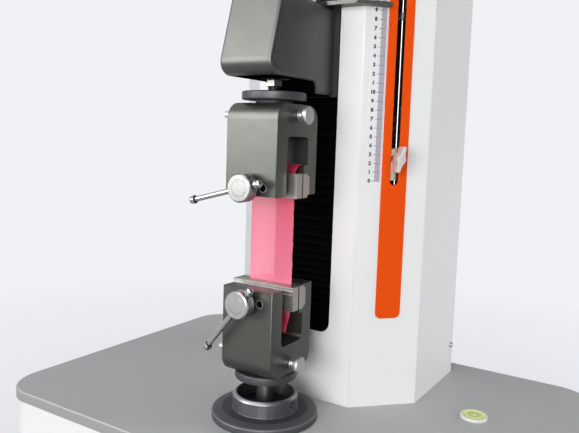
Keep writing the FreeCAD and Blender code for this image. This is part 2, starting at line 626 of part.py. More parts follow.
def rails():
    pair = []
    for side in ("-", ""):
        middleX = f"({side}(railSpread / 2))"
        pair.append(block("Rail", f"{middleX} - railWide / 2", f"{backboneFront} - railTall", f"{plateTop} + backboneFootThick + 2",
                          "railWide", "railTall", "backboneTall - backboneFootThick - 6"))
    keep("guide_rails", group("GuideRails", *pair))


def bearings():
    """A bearing block at each end of the screw, on a bracket from the back plate."""
    pair = []
    for up in ("bearingUp", "backboneTall - bearingTall - 4"):
        bottom = f"{plateTop} + {up}"
        shell = block("BearingBlock", "-bearingWide / 2", f"{screwAxis} - 20", bottom, "bearingWide",
                      f"{backboneFront} - {screwAxis} + 20", "bearingTall")
        bore = cylinder("BearingBore", "0", screwAxis, bottom, "journalDiameter + 2 * slideFit", "bearingTall")
        pair.append(subtract("Bearing", shell, bore))
    keep("screw_bearings", group("ScrewBearings", *pair))


def screwAndCoupling():
    screw = body("ball_screw", "0", screwAxis, plateTop)
    low, high = "(bearingUp + bearingTall + 1)", "(backboneTall - bearingTall - 5)"
    pad(screw, circle(sketch(screw, "XY", low), "0", "0", "screwDiameter"), f"{high} - {low}")
    pad(screw, circle(sketch(screw, "XY", "couplingUp + couplingTall / 2"), "0", "0", "journalDiameter"),
        "backboneTall - 2 - couplingUp - couplingTall / 2")
    dress(screw, "Chamfer", "1", lambda edge: near(edge.BoundBox.ZMin, "backboneTall - 2"))
    coupling = body("shaft_coupling", "0", screwAxis, f"{plateTop} + couplingUp")
    pad(coupling, circle(sketch(coupling, "XY"), "0", "0", "couplingDiameter"), "couplingTall")
    cut(coupling, circle(sketch(coupling, "XY", "couplingTall / 2"), "0", "0", "journalDiameter"), "couplingTall / 2")
    cut(coupling, circle(sketch(coupling, "XY"), "0", "0", "motorShaft + 2 * slideFit"), "couplingTall / 2")
    relief = sketch(coupling, "XZ")
    rectangle(relief, "couplingDiameter / 2 - 4", "couplingTall / 2 - 2", "couplingDiameter / 2 + 1",
              "couplingTall / 2 + 2")
    ring = coupling.newObject("PartDesign::Groove", "Groove")
    ring.Profile = relief
    ring.ReferenceAxis = (relief, ["V_Axis"])
    ring.Angle = 360


def motor():
    half = "motorSquare / 2"
    drive = body("drive_motor", "0", screwAxis, plateUnder)
    pad(drive, rectangle(sketch(drive, "XY", "-motorLong"), f"-{half}", f"-{half}", half, half), "motorLong - 10")
    dress(drive, "Fillet", "7", lambda edge: along(edge, "z"))
    pad(drive, rectangle(sketch(drive, "XY", "-10"), f"-{half} - 8", f"-{half} - 8", f"{half} + 8", f"{half} + 8"),
        "10")
    pad(drive, circle(sketch(drive, "XY"), "0", "0", "motorShaft"), "plateThick + couplingUp + couplingTall / 2 - 1")


# crosshead

def crossheadArm():
    """Carriage plate across the rails, block through the slot with the nut's bore, and the arm under the hood."""
    arm = body("crosshead_arm", z=crosshead)
    backFace = f"({backboneFront} - railTall - blockDeep / 2)"
    tall = "tongueTop + tongueDrop"
    plan = sketch(arm, "XY", "-tongueDrop")
    front = "columnFront"
    ledge = f"({backFace} - carriagePlateThick)"
    half, wide = "tongueWide / 2", "carriagePlateWide / 2"
    outline(plan, [
        (f"-{half}", front), (half, front), (half, ledge), (wide, ledge), (wide, backFace), (f"-{wide}", backFace),
        (f"-{wide}", ledge), (f"-{half}", ledge)])
    pad(arm, plan, tall)
    cut(arm, circle(sketch(arm, "XY", "-tongueDrop"), "0", screwAxis, "nutBody + 0.6"), tall)
    beam = sketch(arm, "YZ", "-armWide / 2")
    tip = "(columnFront - armTip)"
    outline(beam, [
        (tip, "armTop - armThick"), ("columnFront - 36", "armTop - armThick"),
        ("columnFront - 12", "armTop - armThick - 26"), ("columnFront", "armTop - armThick - 34"),
        ("columnFront + 1", "armTop - armThick - 34"), ("columnFront + 1", "armTop"), (tip, "armTop")])
    pad(arm, beam, "armWide")
    cut(arm, circle(sketch(arm, "XY", "armTop - armThick"), "0", gripAxis, "threadDiameter + 1"), "armThick")


def railBlocks():
    """Two long ball-guide blocks, each a channel round its rail."""
    pair = []
    front = f"({backboneFront} - railTall - blockDeep / 2)"
    low, tall = f"{crosshead} - tongueDrop + blockMargin", "tongueTop + tongueDrop - 2 * blockMargin"
    for side in ("-", ""):
        middleX = f"({side}(railSpread / 2))"
        shell = block("GuideBlock", f"{middleX} - blockWide / 2", front, low, "blockWide", "blockDeep", tall)
        groove = block("GuideGroove", f"{middleX} - railWide / 2 - railRun", f"{front} + blockDeep / 2 - railRun", low,
                       "railWide + 2 * railRun", "blockDeep", tall)
        pair.append(subtract("Block", shell, groove))
    keep("rail_blocks", group("RailBlocks", *pair))


def ballNut():
    under = f"{crosshead} - tongueDrop"
    flange = cylinder("NutFlange", "0", screwAxis, f"{under} - nutFlangeThick", "nutFlange", "nutFlangeThick")
    shank = cylinder("NutShank", "0", screwAxis, under, "nutBody", "nutLong - nutFlangeThick")
    bore = cylinder("NutBore", "0", screwAxis, f"{under} - nutFlangeThick", "screwDiameter + 2 * slideFit",
                    "nutLong")
    keep("ball_nut", subtract("BallNut", join("NutBlank", flange, shank), bore))


def loadCell():
    """An S-beam cell: a block with two opposed slots and a threaded hole in each end."""
    cell = body("load_cell", "0", gripAxis, f"{crosshead} + cellUp")
    face = sketch(cell, "XZ", "-cellThick / 2")
    half = "cellWide / 2"
    rectangle(face, f"-{half}", "0", half, "cellTall")
    pad(cell, face, "cellThick")
    for left, right, up in ((f"-{half} + 10", f"{half} + 1", "cellTall * 0.28"),
                            (f"-{half} - 1", f"{half} - 10", "cellTall * 0.66")):
        slit = sketch(cell, "XZ", "-cellThick / 2")
        rectangle(slit, left, up, right, f"{up} + cellSlot")
        cut(cell, slit, "cellThick")
    dress(cell, "Fillet", "1.5", lambda edge: along(edge, "y"))
    cut(cell, circle(sketch(cell, "XY"), "0", "0", "threadDiameter"), "10")


def hood():
    """The cast cover of the crosshead: a leaning front, a rounded nose and a leg down to the slot."""
    shell = body("crosshead_cover", y="columnFront", z=crosshead)
    solid = sketch(shell, "YZ", "-hoodWide / 2")
    face, inside = "hoodReach", "(hoodNose + 6)"
    outline(solid, [
        (f"-{face}", "0"), (f"-{face} + hoodLean", "hoodTall"), ("-0.5", "hoodTall"), ("-0.5", "-hoodLegDrop"),
        ("-hoodLegDeep", "-hoodLegDrop"), ("-hoodLegDeep", "0")])
    pad(shell, solid, "hoodWide")
    dress(shell, "Fillet", "hoodNose", lambda edge: along(edge, "x") and near(middle(edge).y, f"-{face}"))
    dress(shell, "Fillet", "hoodNose / 2", lambda edge: along(edge, "x")
          and (near(middle(edge).y, f"-{face} + hoodLean")
               or (near(middle(edge).y, "-hoodLegDeep") and near(middle(edge).z, "0"))))
    dress(shell, "Fillet", "hoodSoft", lambda edge: near(abs(middle(edge).x), "hoodWide / 2")
          and middle(edge).y < value("-2"))
    hollow = sketch(shell, "YZ", "-hoodWide / 2 + hoodWall")
    outline(hollow, [
        (f"-{face} + {inside} / hoodTall * hoodLean + hoodWall + 0.2", inside),
        (f"-{face} + hoodLean + hoodWall + 1", "hoodTall - hoodWall"),
        ("1", "hoodTall - hoodWall"), ("1", "-hoodLegDrop + hoodWall"),
        ("-hoodLegDeep + hoodWall", "-hoodLegDrop + hoodWall"), ("-hoodLegDeep + hoodWall", "hoodWall"),
        (f"-{face} + hoodNose + 4", "hoodWall")])
    cut(shell, hollow, "hoodWide - 2 * hoodWall")
    cut(shell, circle(sketch(shell, "XY", "-1"), "0", "-gripReach", "30"), "hoodWall + 2")
    plug = body("hood_plug", "hoodWide / 2", "columnFront - hoodReach + plugBack", f"{crosshead} + plugUp")
    pad(plug, circle(sketch(plug, "YZ"), "0", "0", "plugDiameter"), "plugProud")


def pointer():
    """The flat arm that runs from the hood round to the scale and serves as its pointer."""
    plate = body("pointer_plate", y="columnFront", z=f"{crosshead} + hoodTall")
    flat = sketch(plate, "XY")
    corner = "(columnWide / 2 - columnChamfer)"
    reach = "(stripStart - 1.5)"
    gap, far = "pointerGap", "(pointerFront * cos(45 deg))"
    outline(flat, [
        ("-hoodWide / 2 + 8", f"-{gap}"), ("-hoodWide / 2 + 8", "-pointerFront - 14"),
        ("hoodWide / 2 - 6", "-pointerFront - 14"), ("hoodWide / 2", "-pointerFront"),
        (f"{corner} - 1", "-pointerFront"),
        (f"{corner} + ({reach} + {far}) * cos(45 deg)", f"({reach} - {far}) * cos(45 deg)"),
        (f"{corner} + ({reach} + {gap}) * cos(45 deg)", f"({reach} - {gap}) * cos(45 deg)"),
        (f"{corner} + 1", f"-{gap}")])
    pad(plate, flat, "pointerThick")
    dress(plate, "Fillet", "3", lambda edge: along(edge, "z") and (
        near(middle(edge).x, "-hoodWide / 2 + 8") or near(middle(edge).x, f"{corner} - 1")))


def tripFinger():
    """The bracket inside the column that carries a ring round the limit rod."""
    finger = chamferBody("trip_finger", f"{crosshead} + hoodTall - 11")
    pad(finger, circle(sketch(finger, "XY"), rodAlong, "rodDeep", "tripRing"), "tripThick")
    bar = sketch(finger, "XY")
    plateFace = f"({backboneFront} - railTall - blockDeep / 2 - carriagePlateThick - columnFront)"
    # the carriage plate's front face, met by a bar at 45 degrees from the rod, in this frame
    inner, half = "(rodDeep + rodDiameter / 2 + 0.5)", "tripBar / 2"
    end = f"({plateFace} / cos(45 deg) - {rodAlong})"
    outline(bar, [
        (f"{rodAlong} - {half}", inner), (f"{rodAlong} + {half}", inner), (f"{rodAlong} + {half}", f"{end} - {half}"),
        (f"{rodAlong} - {half}", f"{end} + {half}")])
    pad(finger, bar, "tripThick")
    cut(finger, circle(sketch(finger, "XY"), rodAlong, "rodDeep", "rodDiameter + 2 * slideFit"), "tripThick")


# grips

def gripFrame(name, z, flip):
    """A milled yoke, open at one end and through its sides, with a seat for the fixed jaw and a stud socket."""
    frame, clampDown = body(f"{name}_grip_frame", "0", gripAxis, z, flip), f"{name}ClampDown"
    front, rear = "-gripDeep / 2", "gripDeep / 2"
    side = sketch(frame, "YZ", "-gripWide / 2")
    outline(side, [
        (front, "0"), (front, "-gripTall"), (rear, "-gripTall"), (rear, "0"),
        (f"{rear} - gripRearWall - seatProud", "0"), (f"{rear} - gripRearWall - seatProud", "-seatTall"),
        (f"{rear} - gripRearWall", "-seatTall"), (f"{rear} - gripRearWall", "-gripWindow"),
        (f"{front} + gripFrontWall", "-gripWindow"), (f"{front} + gripFrontWall", "0")])
    pad(frame, side, "gripWide")
    dress(frame, "Fillet", "gripCorner", lambda edge: along(edge, "x") and near(middle(edge).z, "-gripTall"))
    dress(frame, "Fillet", "gripWindowCorner", lambda edge: along(edge, "x") and near(middle(edge).z, "-gripWindow"))
    dress(frame, "Fillet", "gripEdge", lambda edge: near(abs(middle(edge).x), "gripWide / 2")
          and near(edge.BoundBox.XLength, "0") and (abs(middle(edge).y) > value("gripDeep / 2 - 5")
                                                     or middle(edge).z < value("-gripTall + 5")))
    cut(frame, circle(sketch(frame, "XY", "-gripTall"), "0", "0", "studDiameter + 2 * slideFit"), "socketDeep")
    cut(frame, circle(sketch(frame, "YZ", "-gripWide / 2"), "0", "-pinDown", "pinDiameter + 2 * pinFit"), "gripWide")
    bores = sketch(frame, "XZ", "gripDeep / 2 - gripFrontWall")
    circle(bores, "0", f"-{clampDown}", "clampShank + 2 * slideFit")
    for sign in ("-", ""):
        circle(bores, f"{sign}guideSpread / 2", f"-{clampDown}", "guidePin + 2 * guideFit")
    cut(frame, bores, "gripFrontWall")


def jaws(name, z, flip):
    """The fixed jaw with its key, and the moving jaw with its two guide pins."""
    fixed = body(f"{name}_fixed_jaw", "0", gripAxis, z, flip)
    low, high = "(jawProud - jawTall)", "jawProud"
    shank = sketch(fixed, "YZ", "-jawWide / 2")
    face, key = "(jawThick + jawGap)", "(gripDeep / 2 - gripRearWall - seatProud)"
    keyLow, keyHigh = f"({low} + jawTall / 2 - jawKeyTall / 2)", f"({low} + jawTall / 2 + jawKeyTall / 2)"
    outline(shank, [
        ("jawGap", low), (face, low), (face, keyLow), (key, keyLow), (key, keyHigh), (face, keyHigh),
        (face, high), ("jawGap", high)])
    pad(fixed, shank, "jawWide")
    dress(fixed, "Chamfer", "jawEase", lambda edge: near(middle(edge).y, "jawGap"))
    moving = body(f"{name}_moving_jaw", "0", gripAxis, z, flip)
    face = sketch(moving, "YZ", "-jawWide / 2")
    pitch = "(jawTall / (2 * jawGrooves + 1))"
    corners = [("0", low), ("0", high), ("-movingJawThick", high)]
    for count in range(int(value("jawGrooves"))):
        top = f"({high} - {2 * count + 1} * {pitch})"
        corners += [("-movingJawThick", top), ("-movingJawThick + jawGrooveDeep", top),
                    ("-movingJawThick + jawGrooveDeep", f"{top} - {pitch}"), ("-movingJawThick", f"{top} - {pitch}")]
    corners.append(("-movingJawThick", low))
    pad(moving, outline(face, corners), "jawWide")
    dress(moving, "Chamfer", "jawEase", lambda edge: near(middle(edge).y, "0"))
    for sign in ("-", ""):
        pinTip = "gripDeep / 2 - guideRecess"
        guide = circle(sketch(moving, "XZ", "movingJawThick - 1"), f"{sign}guideSpread / 2", f"-{name}ClampDown",
                       "guidePin")
        pad(moving, guide, f"{pinTip} - movingJawThick + 1")
    cut(moving, circle(sketch(moving, "XY", f"{high} - jawHoleDeep"), "0", "-movingJawThick / 2", "jawHole"),
        "jawHoleDeep")


def clampScrew(name, z, flip, angle):
    """The turned clamp screw, its end on the moving jaw, its head drilled across for the bar."""
    screw, clampDown = body(f"{name}_clamp_screw", "0", gripAxis, z, flip), f"{name}ClampDown"
    headBack = "(gripDeep / 2 + clampHeadGap)"
    headFront = f"({headBack} + clampHeadThick)"
    profile = sketch(screw, "XY", f"-{clampDown}")
    outline(profile, [
        ("0", "-movingJawThick"), ("clampShank / 2 - 3", "-movingJawThick"),
        ("clampShank / 2 - 3", "-movingJawThick - 5"), ("clampShank / 2", "-movingJawThick - 6"),
        ("clampShank / 2", f"-{headBack}"),
        ("clampHead / 2 - clampChamfer", f"-{headBack}"), ("clampHead / 2", f"-{headBack} - clampChamfer"),
        ("clampHead / 2", f"-{headFront} + clampChamfer"), ("clampHead / 2 - clampChamfer", f"-{headFront}"),
        ("0", f"-{headFront}")])
    revolve(screw, profile)
    document.recompute()
    sign = -1 if flip else 1
    direction = (math.cos(math.radians(value(angle))), 0, math.sin(math.radians(value(angle))))
    across = FreeCAD.Rotation(FreeCAD.Vector(0, 0, 1), FreeCAD.Vector(*direction))
    centre = (0, value(gripAxis) - value(headBack) - value("clampHeadThick") / 2,
              value(z) - sign * value(clampDown))

    def onBar(make, start, length, diameter):
        made = document.addObject("Part::Cylinder", make)
        made.setExpression("Radius", bound(f"({diameter}) / 2"))
        made.setExpression("Height", bound(length))
        made.Placement.Rotation = across
        for letter, origin, part in zip("xyz", (0, f"{gripAxis} - {headBack} - clampHeadThick / 2",
                                                f"{z} - ({sign}) * {clampDown}"), direction):
            made.setExpression(f".Placement.Base.{letter}", bound(f"{origin} + ({start}) * ({part:.9f})"))
        return made

    del nodes[f"{name}_clamp_screw"]
    screw.Label = f"{name}_clamp_screw_blank"
    drill = onBar("CrossDrill", "-clampHead", "2 * clampHead", "tommyDiameter + 2 * tommyFit")
    keep(f"{name}_clamp_screw", subtract("ClampScrew", screw, drill))
    inner = "(clampHead / 2 + 0.2)"
    rodStart = f"(-{inner} - tommyCapLong)"
    shank = onBar("BarShank", f"{rodStart} + 1", "2 * (clampHead / 2 + 0.2) + 2 * tommyCapLong + tommyTravel - 2",
                  "tommyDiameter")
    capA = onBar("BarCapA", rodStart, "tommyCapLong", "tommyCap")
    capB = onBar("BarCapB", f"{inner} + tommyTravel", "tommyCapLong", "tommyCap")
    keep(f"{name}_tommy_bar", join("TommyBar", shank, capA, capB))


def crossPin(name, z, down):
    """The cross pin through grip and stud: headed, with a ringed neck, its tail out on the left."""
    turned = body(f"{name}_cross_pin", "gripWide / 2", gripAxis, f"{z} - ({down}) * pinDown", towardRight)
    profile = sketch(turned, "XZ")
    radius = "pinDiameter / 2"
    length = "(gripWide + pinTail)"
    rings = [("0", f"-{length}"), (f"{radius} - 1", f"-{length}"), (radius, f"-{length} + 1.5"), (radius, "0.5")]
    for count in range(3):
        start = f"(0.5 + {count} * (pinHeadOut - 1) / 3)"
        rings += [(f"{radius} + 1.4", start), (f"{radius} + 1.4", f"{start} + (pinHeadOut - 1) / 5"),
                  (radius, f"{start} + (pinHeadOut - 1) / 5"), (radius, f"{start} + (pinHeadOut - 1) / 3")]
    rings += [("pinHead / 2 - 0.8", "(0.5 + pinHeadOut - 1)"), ("pinHead / 2", "(0.5 + pinHeadOut - 0.2)"),
              ("pinHead / 2", "pinHeadOut + pinHeadThick - 0.8"), ("pinHead / 2 - 0.8", "pinHeadOut + pinHeadThick"),
              ("0", "pinHeadOut + pinHeadThick")]
    revolve(turned, outline(profile, rings))


def lockDisc(name, z, hub):
    """A round lock nut on the stud."""
    disc = body(f"{name}_lock_disc", "0", gripAxis, z)
    pad(disc, circle(sketch(disc, "XY"), "0", "0", "discDiameter"), "discThick")
    dress(disc, "Chamfer", "discEdge", lambda edge: edge.BoundBox.XLength > value("discDiameter - 1")
          and edge.BoundBox.ZLength < 0.01)
    if hub:
        pad(disc, circle(sketch(disc, "XY", "-upperDiscGap"), "0", "0", "upperDiscHub"), "upperDiscGap")
    low = "-upperDiscGap" if hub else "0"
    cut(disc, circle(sketch(disc, "XY", low), "0", "0", "studDiameter + 2 * slideFit"),
        "discThick + upperDiscGap" if hub else "discThick")


def drilledStud(label, profileCorners, z, pinAt):
    """A turned stud with the cross pin's hole."""
    stud = body(label, "0", gripAxis, z)
    revolve(stud, outline(sketch(stud, "XZ"), profileCorners))
    cut(stud, circle(sketch(stud, "YZ", "-studDiameter"), "0", pinAt, "pinDiameter + 2 * pinFit"), "2 * studDiameter")


def lowerMount():
    """The round flange on the base, its collar, and the stud that carries the lower grip."""
    flange = body("lower_mount_flange", "0", gripAxis, plateTop)
    profile = sketch(flange, "XZ")
    stud = "(studDiameter / 2 + slideFit)"
    outline(profile, [
        (stud, "0"), ("flangeDiameter / 2", "0"), ("flangeDiameter / 2", "flangeRim - 1"),
        ("flangeDiameter / 2 - 1", "flangeRim"), ("flangeFlat / 2", "flangeThick"),
        ("collarDiameter / 2", "flangeThick"), ("collarDiameter / 2", "collarTop - collarChamfer"),
        ("collarDiameter / 2 - collarChamfer", "collarTop"), ("collarBore / 2", "collarTop"),
        ("collarBore / 2", "collarFloor"), (stud, "collarFloor")])
    revolve(flange, profile)
    screwUp = "((flangeThick + collarTop) / 2)"
    cut(flange, circle(sketch(flange, "YZ", "collarBore / 2 - 1"), "0", screwUp, "6"),
        "collarDiameter / 2 - collarBore / 2 + 2")
    radius = "studDiameter / 2"
    top = "(lowerGripUp - gripTall + socketDeep - 0.5)"
    drilledStud("lower_stud", [
        ("0", "-plateThick + 1"), (radius, "-plateThick + 1"), (radius, f"{top} - 1.5"),
        (f"{radius} - 1.5", top), ("0", top)], plateTop, "lowerGripUp - pinDown")


def upperMount():
    radius, thread = "studDiameter / 2", "threadDiameter / 2"
    bottom = f"({plateTop} + upperGripUp + gripTall - socketDeep + 0.5)"
    shoulder = "(socketDeep - 0.5 + upperDiscGap + discThick)"
    top = f"({crosshead} + cellUp + 9 - {bottom})"
    drilledStud("upper_stud", [
        ("0", "0"), (f"{radius} - 1.5", "0"), (radius, "1.5"), (radius, shoulder), (thread, shoulder),
        (thread, top), ("0", top)], bottom, f"{plateTop} + upperGripUp + pinDown - {bottom}")
    nut = body("load_cell_nut", "0", gripAxis, f"{crosshead} - hexUp")
    hexagon = sketch(nut, "XY")
    corners = []
    for count in range(6):
        turn = 60 * count
        corners.append((f"hexAcross / 2 / cos(30 deg) * cos({turn} deg)", f"hexAcross / 2 / cos(30 deg) * sin({turn} deg)"))
    pad(nut, outline(hexagon, corners), "hexTall")
    cut(nut, circle(sketch(nut, "XY"), "0", "0", "threadDiameter"), "hexTall")


def film():
    """The strip of film in the grips."""
    low = f"{plateTop} + lowerGripUp + jawProud - jawTall - filmTail"
    tall = "upperGripUp - lowerGripUp + 2 * (jawTall - jawProud) + filmTail + filmHead"
    keep("film_specimen", block("Film", "filmShift - filmWide / 2", f"{gripAxis} + jawGap / 2 - filmThick / 2", low,
                                "filmWide", "filmThick", tall))


# bellows

def bellows(label, bottom, top, folds, gather):
    """An accordion sheet behind the slot: folds crowd towards the bottom by the power gather."""
    depth, back = value("bellowsDeep"), value("columnFront + bellowsBehind + bellowsDeep")
    low, high, folds = value(bottom), value(top), int(value(folds))
    heights = [low + (high - low) * (count / folds) ** gather for count in range(folds + 1)]
    points = []
    rib = value("bellowsRib")
    for start, end in zip(heights, heights[1:]):
        points.append((back - rib, start))
        points.append((back - depth, (start + end) / 2))
    points.append((back - rib, high))
    points += [(back, high), (back, low)]
    half = value("bellowsWide") / 2
    ring = [FreeCAD.Vector(-half, y, z) for y, z in points]
    face = Part.Face(Part.makePolygon(ring + ring[:1]))
    made = document.addObject("Part::Feature", label)
    made.Shape = face.extrude(FreeCAD.Vector(2 * half, 0, 0))
    keep(label, made)


topPlate()
housing()
pan()
for label, x, y in footPlaces():
    foot(label, x, y)
controlPanel()
emergencyStop()
rearFittings()
level()
columnCover()
columnCap()
columnBack()
sideStrip()
ruler()
limitRod()
stopAndKnob("lower", "lowerStopUp")
stopAndKnob("upper", "upperStopUp")
backbone()
rails()
bearings()
screwAndCoupling()
motor()
crossheadArm()
railBlocks()
ballNut()
loadCell()
hood()
pointer()
tripFinger()
lowerOpen, upperOpen = f"{plateTop} + lowerGripUp", f"{plateTop} + upperGripUp"
upsideDown = ((0, 1, 0), "180")
for name, opening, flip, angle, down in (("lower", lowerOpen, None, "lowerTommyAngle", "1"),
                                         ("upper", upperOpen, upsideDown, "upperTommyAngle", "-1")):
    gripFrame(name, opening, flip)
    jaws(name, opening, flip)
    clampScrew(name, opening, flip, angle)
    crossPin(name, opening, down)
lockDisc("lower", f"{lowerOpen} - gripTall - discThick", False)
lockDisc("upper", f"{upperOpen} + gripTall + upperDiscGap", True)
lowerMount()
upperMount()
film()
bellows("lower_bellows", f"{plateTop} + bellowsFoot", f"{crosshead} - tongueDrop", "lowerFolds", 1.5)
bellows("upper_bellows", f"{crosshead} + tongueTop", f"{plateTop} + bellowsHead", "upperFolds", 1.0)
document.recompute()

for thing in document.Objects:
    if any(word in ("Invalid", "Error") for word in thing.State):
        raise ValueError(f"{thing.Name} ({thing.Label}) did not compute: {thing.State}")
for label, thing in nodes.items():
    if thing.Shape.isNull() or not thing.Shape.isValid():
        raise ValueError(f"{label} has no valid shape")

os.makedirs("parts", exist_ok=True)
for label, thing in nodes.items():
    thing.Shape.exportStep(f"parts/{label}.step")
print(len(nodes), "nodes written")
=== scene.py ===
import math
import random

import bmesh
import bpy
from mathutils import Matrix, Vector


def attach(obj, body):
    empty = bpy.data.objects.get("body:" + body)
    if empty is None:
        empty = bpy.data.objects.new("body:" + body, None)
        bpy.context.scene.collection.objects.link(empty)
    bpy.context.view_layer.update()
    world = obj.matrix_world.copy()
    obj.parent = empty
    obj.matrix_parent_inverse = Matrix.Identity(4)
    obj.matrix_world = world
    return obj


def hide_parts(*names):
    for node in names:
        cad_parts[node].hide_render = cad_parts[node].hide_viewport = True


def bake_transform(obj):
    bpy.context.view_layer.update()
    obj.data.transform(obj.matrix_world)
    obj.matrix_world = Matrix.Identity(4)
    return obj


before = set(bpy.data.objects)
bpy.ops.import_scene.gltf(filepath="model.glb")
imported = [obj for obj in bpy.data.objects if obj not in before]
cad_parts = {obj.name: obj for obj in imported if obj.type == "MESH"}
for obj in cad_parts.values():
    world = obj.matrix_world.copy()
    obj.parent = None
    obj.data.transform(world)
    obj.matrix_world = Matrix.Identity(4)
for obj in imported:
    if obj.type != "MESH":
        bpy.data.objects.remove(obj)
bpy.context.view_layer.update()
scene = bpy.context.scene
print("frame loaded,", len(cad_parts), "nodes")

# Sizes are in millimetres in the frame's own axes, unless a note says otherwise.


class Wire:  # a shader socket that can be reckoned with
    def __init__(self, graph, socket):
        self.graph = graph
        self.socket = socket

    def reckon(self, operation, first, second):
        return self.graph.node("ShaderNodeMath", {"operation": operation}, {0: first, 1: second})

    def __add__(self, other):
        return self.reckon("ADD", self, other)

    def __radd__(self, other):
        return self.reckon("ADD", other, self)

    def __sub__(self, other):
        return self.reckon("SUBTRACT", self, other)

    def __rsub__(self, other):
        return self.reckon("SUBTRACT", other, self)

    def __mul__(self, other):
        return self.reckon("MULTIPLY", self, other)

    def __rmul__(self, other):
        return self.reckon("MULTIPLY", other, self)

    def __truediv__(self, other):
        return self.reckon("DIVIDE", self, other)

    def __pow__(self, power):
        return self.reckon("POWER", self, power)

    def __abs__(self):
        return self.reckon("ABSOLUTE", self, 0)


class Graph:  # a node tree, with one method that adds any node
    def __init__(self, tree):
        self.tree = tree

    def feed(self, socket, value):
        if isinstance(value, Wire):
            self.tree.links.new(value.socket, socket)
        else:
            socket.default_value = value

    def node(self, kind, settings=None, inputs=None, output=0):
        made = self.tree.nodes.new(kind)
        for key, value in (settings or {}).items():
            setattr(made, key, value)
        for key, value in (inputs or {}).items():
            self.feed(made.inputs[key], value)
        return Wire(self, made.outputs[output])

    def mix(self, first, second, factor):
        return self.node("ShaderNodeMix", {"data_type": "RGBA"}, {0: factor, 6: first, 7: second}, 2)

    def between(self, value, low, high):  # 0 below low, 1 above high
        return self.node("ShaderNodeMapRange", {}, {"Value": value, "From Min": low, "From Max": high})

    def larger(self, first, second):
        return self.node("ShaderNodeMath", {"operation": "MAXIMUM"}, {0: first, 1: second})


class Finish(Graph):  # a material of this object
    def __init__(self, name, colour, roughness, metallic=0.0, **fixed):
        self.material = bpy.data.materials.new(name)
        self.material.use_nodes = True
        super().__init__(self.material.node_tree)
        self.shader = self.tree.nodes["Principled BSDF"]
        self.colour = (*colour, 1)
        self.give("Base Color", self.colour)
        self.give("Roughness", roughness)
        self.give("Metallic", metallic)
        for key, value in fixed.items():
            self.give(key.replace("_", " "), value)

    def give(self, socket, value):
        self.feed(self.shader.inputs[socket], value)

    def place(self, centre=(0, 0, 0), stretch=(1, 1, 1)):  # position in mm from centre, each axis scaled
        spot = self.node("ShaderNodeTexCoord", {}, {}, 3)
        spot = self.node("ShaderNodeVectorMath", {"operation": "SCALE"}, {0: spot, "Scale": 1000.0})
        spot = self.node("ShaderNodeVectorMath", {"operation": "SUBTRACT"}, {0: spot, 1: centre})
        return self.node("ShaderNodeVectorMath", {"operation": "MULTIPLY"}, {0: spot, 1: stretch})

    def part(self, vector, axis):
        return self.node("ShaderNodeSeparateXYZ", {}, {0: vector}, axis)

    def radius(self, spot, axis):  # distance from the axis through the centre of spot
        across = [self.part(spot, number) for number in range(3) if number != axis]
        return (across[0] * across[0] + across[1] * across[1]) ** 0.5

    def ridges(self, value, pitch):  # 0 to 1 and back, once for each pitch in mm
        return self.node("ShaderNodeMath", {"operation": "PINGPONG"}, {0: value, 1: pitch / 2}) / (pitch / 2)

    def noise(self, size, detail=2.0, spot=None, rough=0.5):  # a cloud of 0 to 1, with lumps of about size mm
        inputs = {"Vector": spot or self.place(), "Scale": 1 / size, "Detail": detail, "Roughness": rough}
        return self.node("ShaderNodeTexNoise", {}, inputs)

    def lines(self, value, size, detail=3.0):  # like noise, but along one value only
        inputs = {"W": value, "Scale": 1 / size, "Detail": detail}
        return self.node("ShaderNodeTexNoise", {"noise_dimensions": "1D"}, inputs)

    def bump(self, height, depth, strength=1.0):  # depth in mm
        inputs = {"Strength": strength, "Distance": depth / 1000, "Height": height}
        self.give("Normal", self.node("ShaderNodeBump", {}, inputs))

    def blacken(self, share):  # painted shade: where share is 1 the finish gives way to dull black
        dull = self.node("ShaderNodeBsdfPrincipled", {}, {
            "Base Color": (0.002, 0.002, 0.002, 1), "Roughness": 0.9, "Specular IOR Level": 0.0})
        mixed = self.node("ShaderNodeMixShader", {}, {0: share, 1: Wire(self, self.shader.outputs[0]), 2: dull})
        self.feed(self.tree.nodes["Material Output"].inputs["Surface"], mixed)

    def shade(self, factor, darker, lighter):  # base colour times darker at 0, times lighter at 1
        ends = [tuple(min(1, part * share) for part in self.colour[:3]) + (1,) for share in (darker, lighter)]
        return self.mix(*ends, factor)


def addPiece(name, points, faces, finish, angle=35):
    data = bpy.data.meshes.new(name)
    data.from_pydata([Vector(point) / 1000 for point in points], [], faces)
    data.validate()
    data.materials.append(finish.material)
    made = bpy.data.objects.new(name, data)
    scene.collection.objects.link(made)
    soften(made, angle)
    return made


def soften(piece, angle):
    work = bmesh.new()
    work.from_mesh(piece.data)
    bmesh.ops.recalc_face_normals(work, faces=work.faces)
    work.to_mesh(piece.data)
    work.free()
    piece.data.shade_smooth()
    piece.data.set_sharp_from_angle(angle=math.radians(angle))


def latheMesh(profile, steps, reach=None):
    # profile is (radius, height) pairs from one end to the other; reach(angle, height) may limit the radius
    points, rings, faces = [], [], []
    for radius, height in profile:
        if radius < 1e-6:
            rings.append([len(points)])
            points.append((0, 0, height))
            continue
        ring = []
        for step in range(steps):
            angle = 2 * math.pi * step / steps
            here = min(radius, reach(angle, height)) if reach else radius
            ring.append(len(points))
            points.append((here * math.cos(angle), here * math.sin(angle), height))
        rings.append(ring)
    for low, high in zip(rings, rings[1:]):
        for step in range(steps):
            after = (step + 1) % steps
            if len(low) == 1:
                faces.append((low[0], high[after], high[step]))
            elif len(high) == 1:
                faces.append((low[step], low[after], high[0]))
            else:
                faces.append((low[step], low[after], high[after], high[step]))
    return points, faces


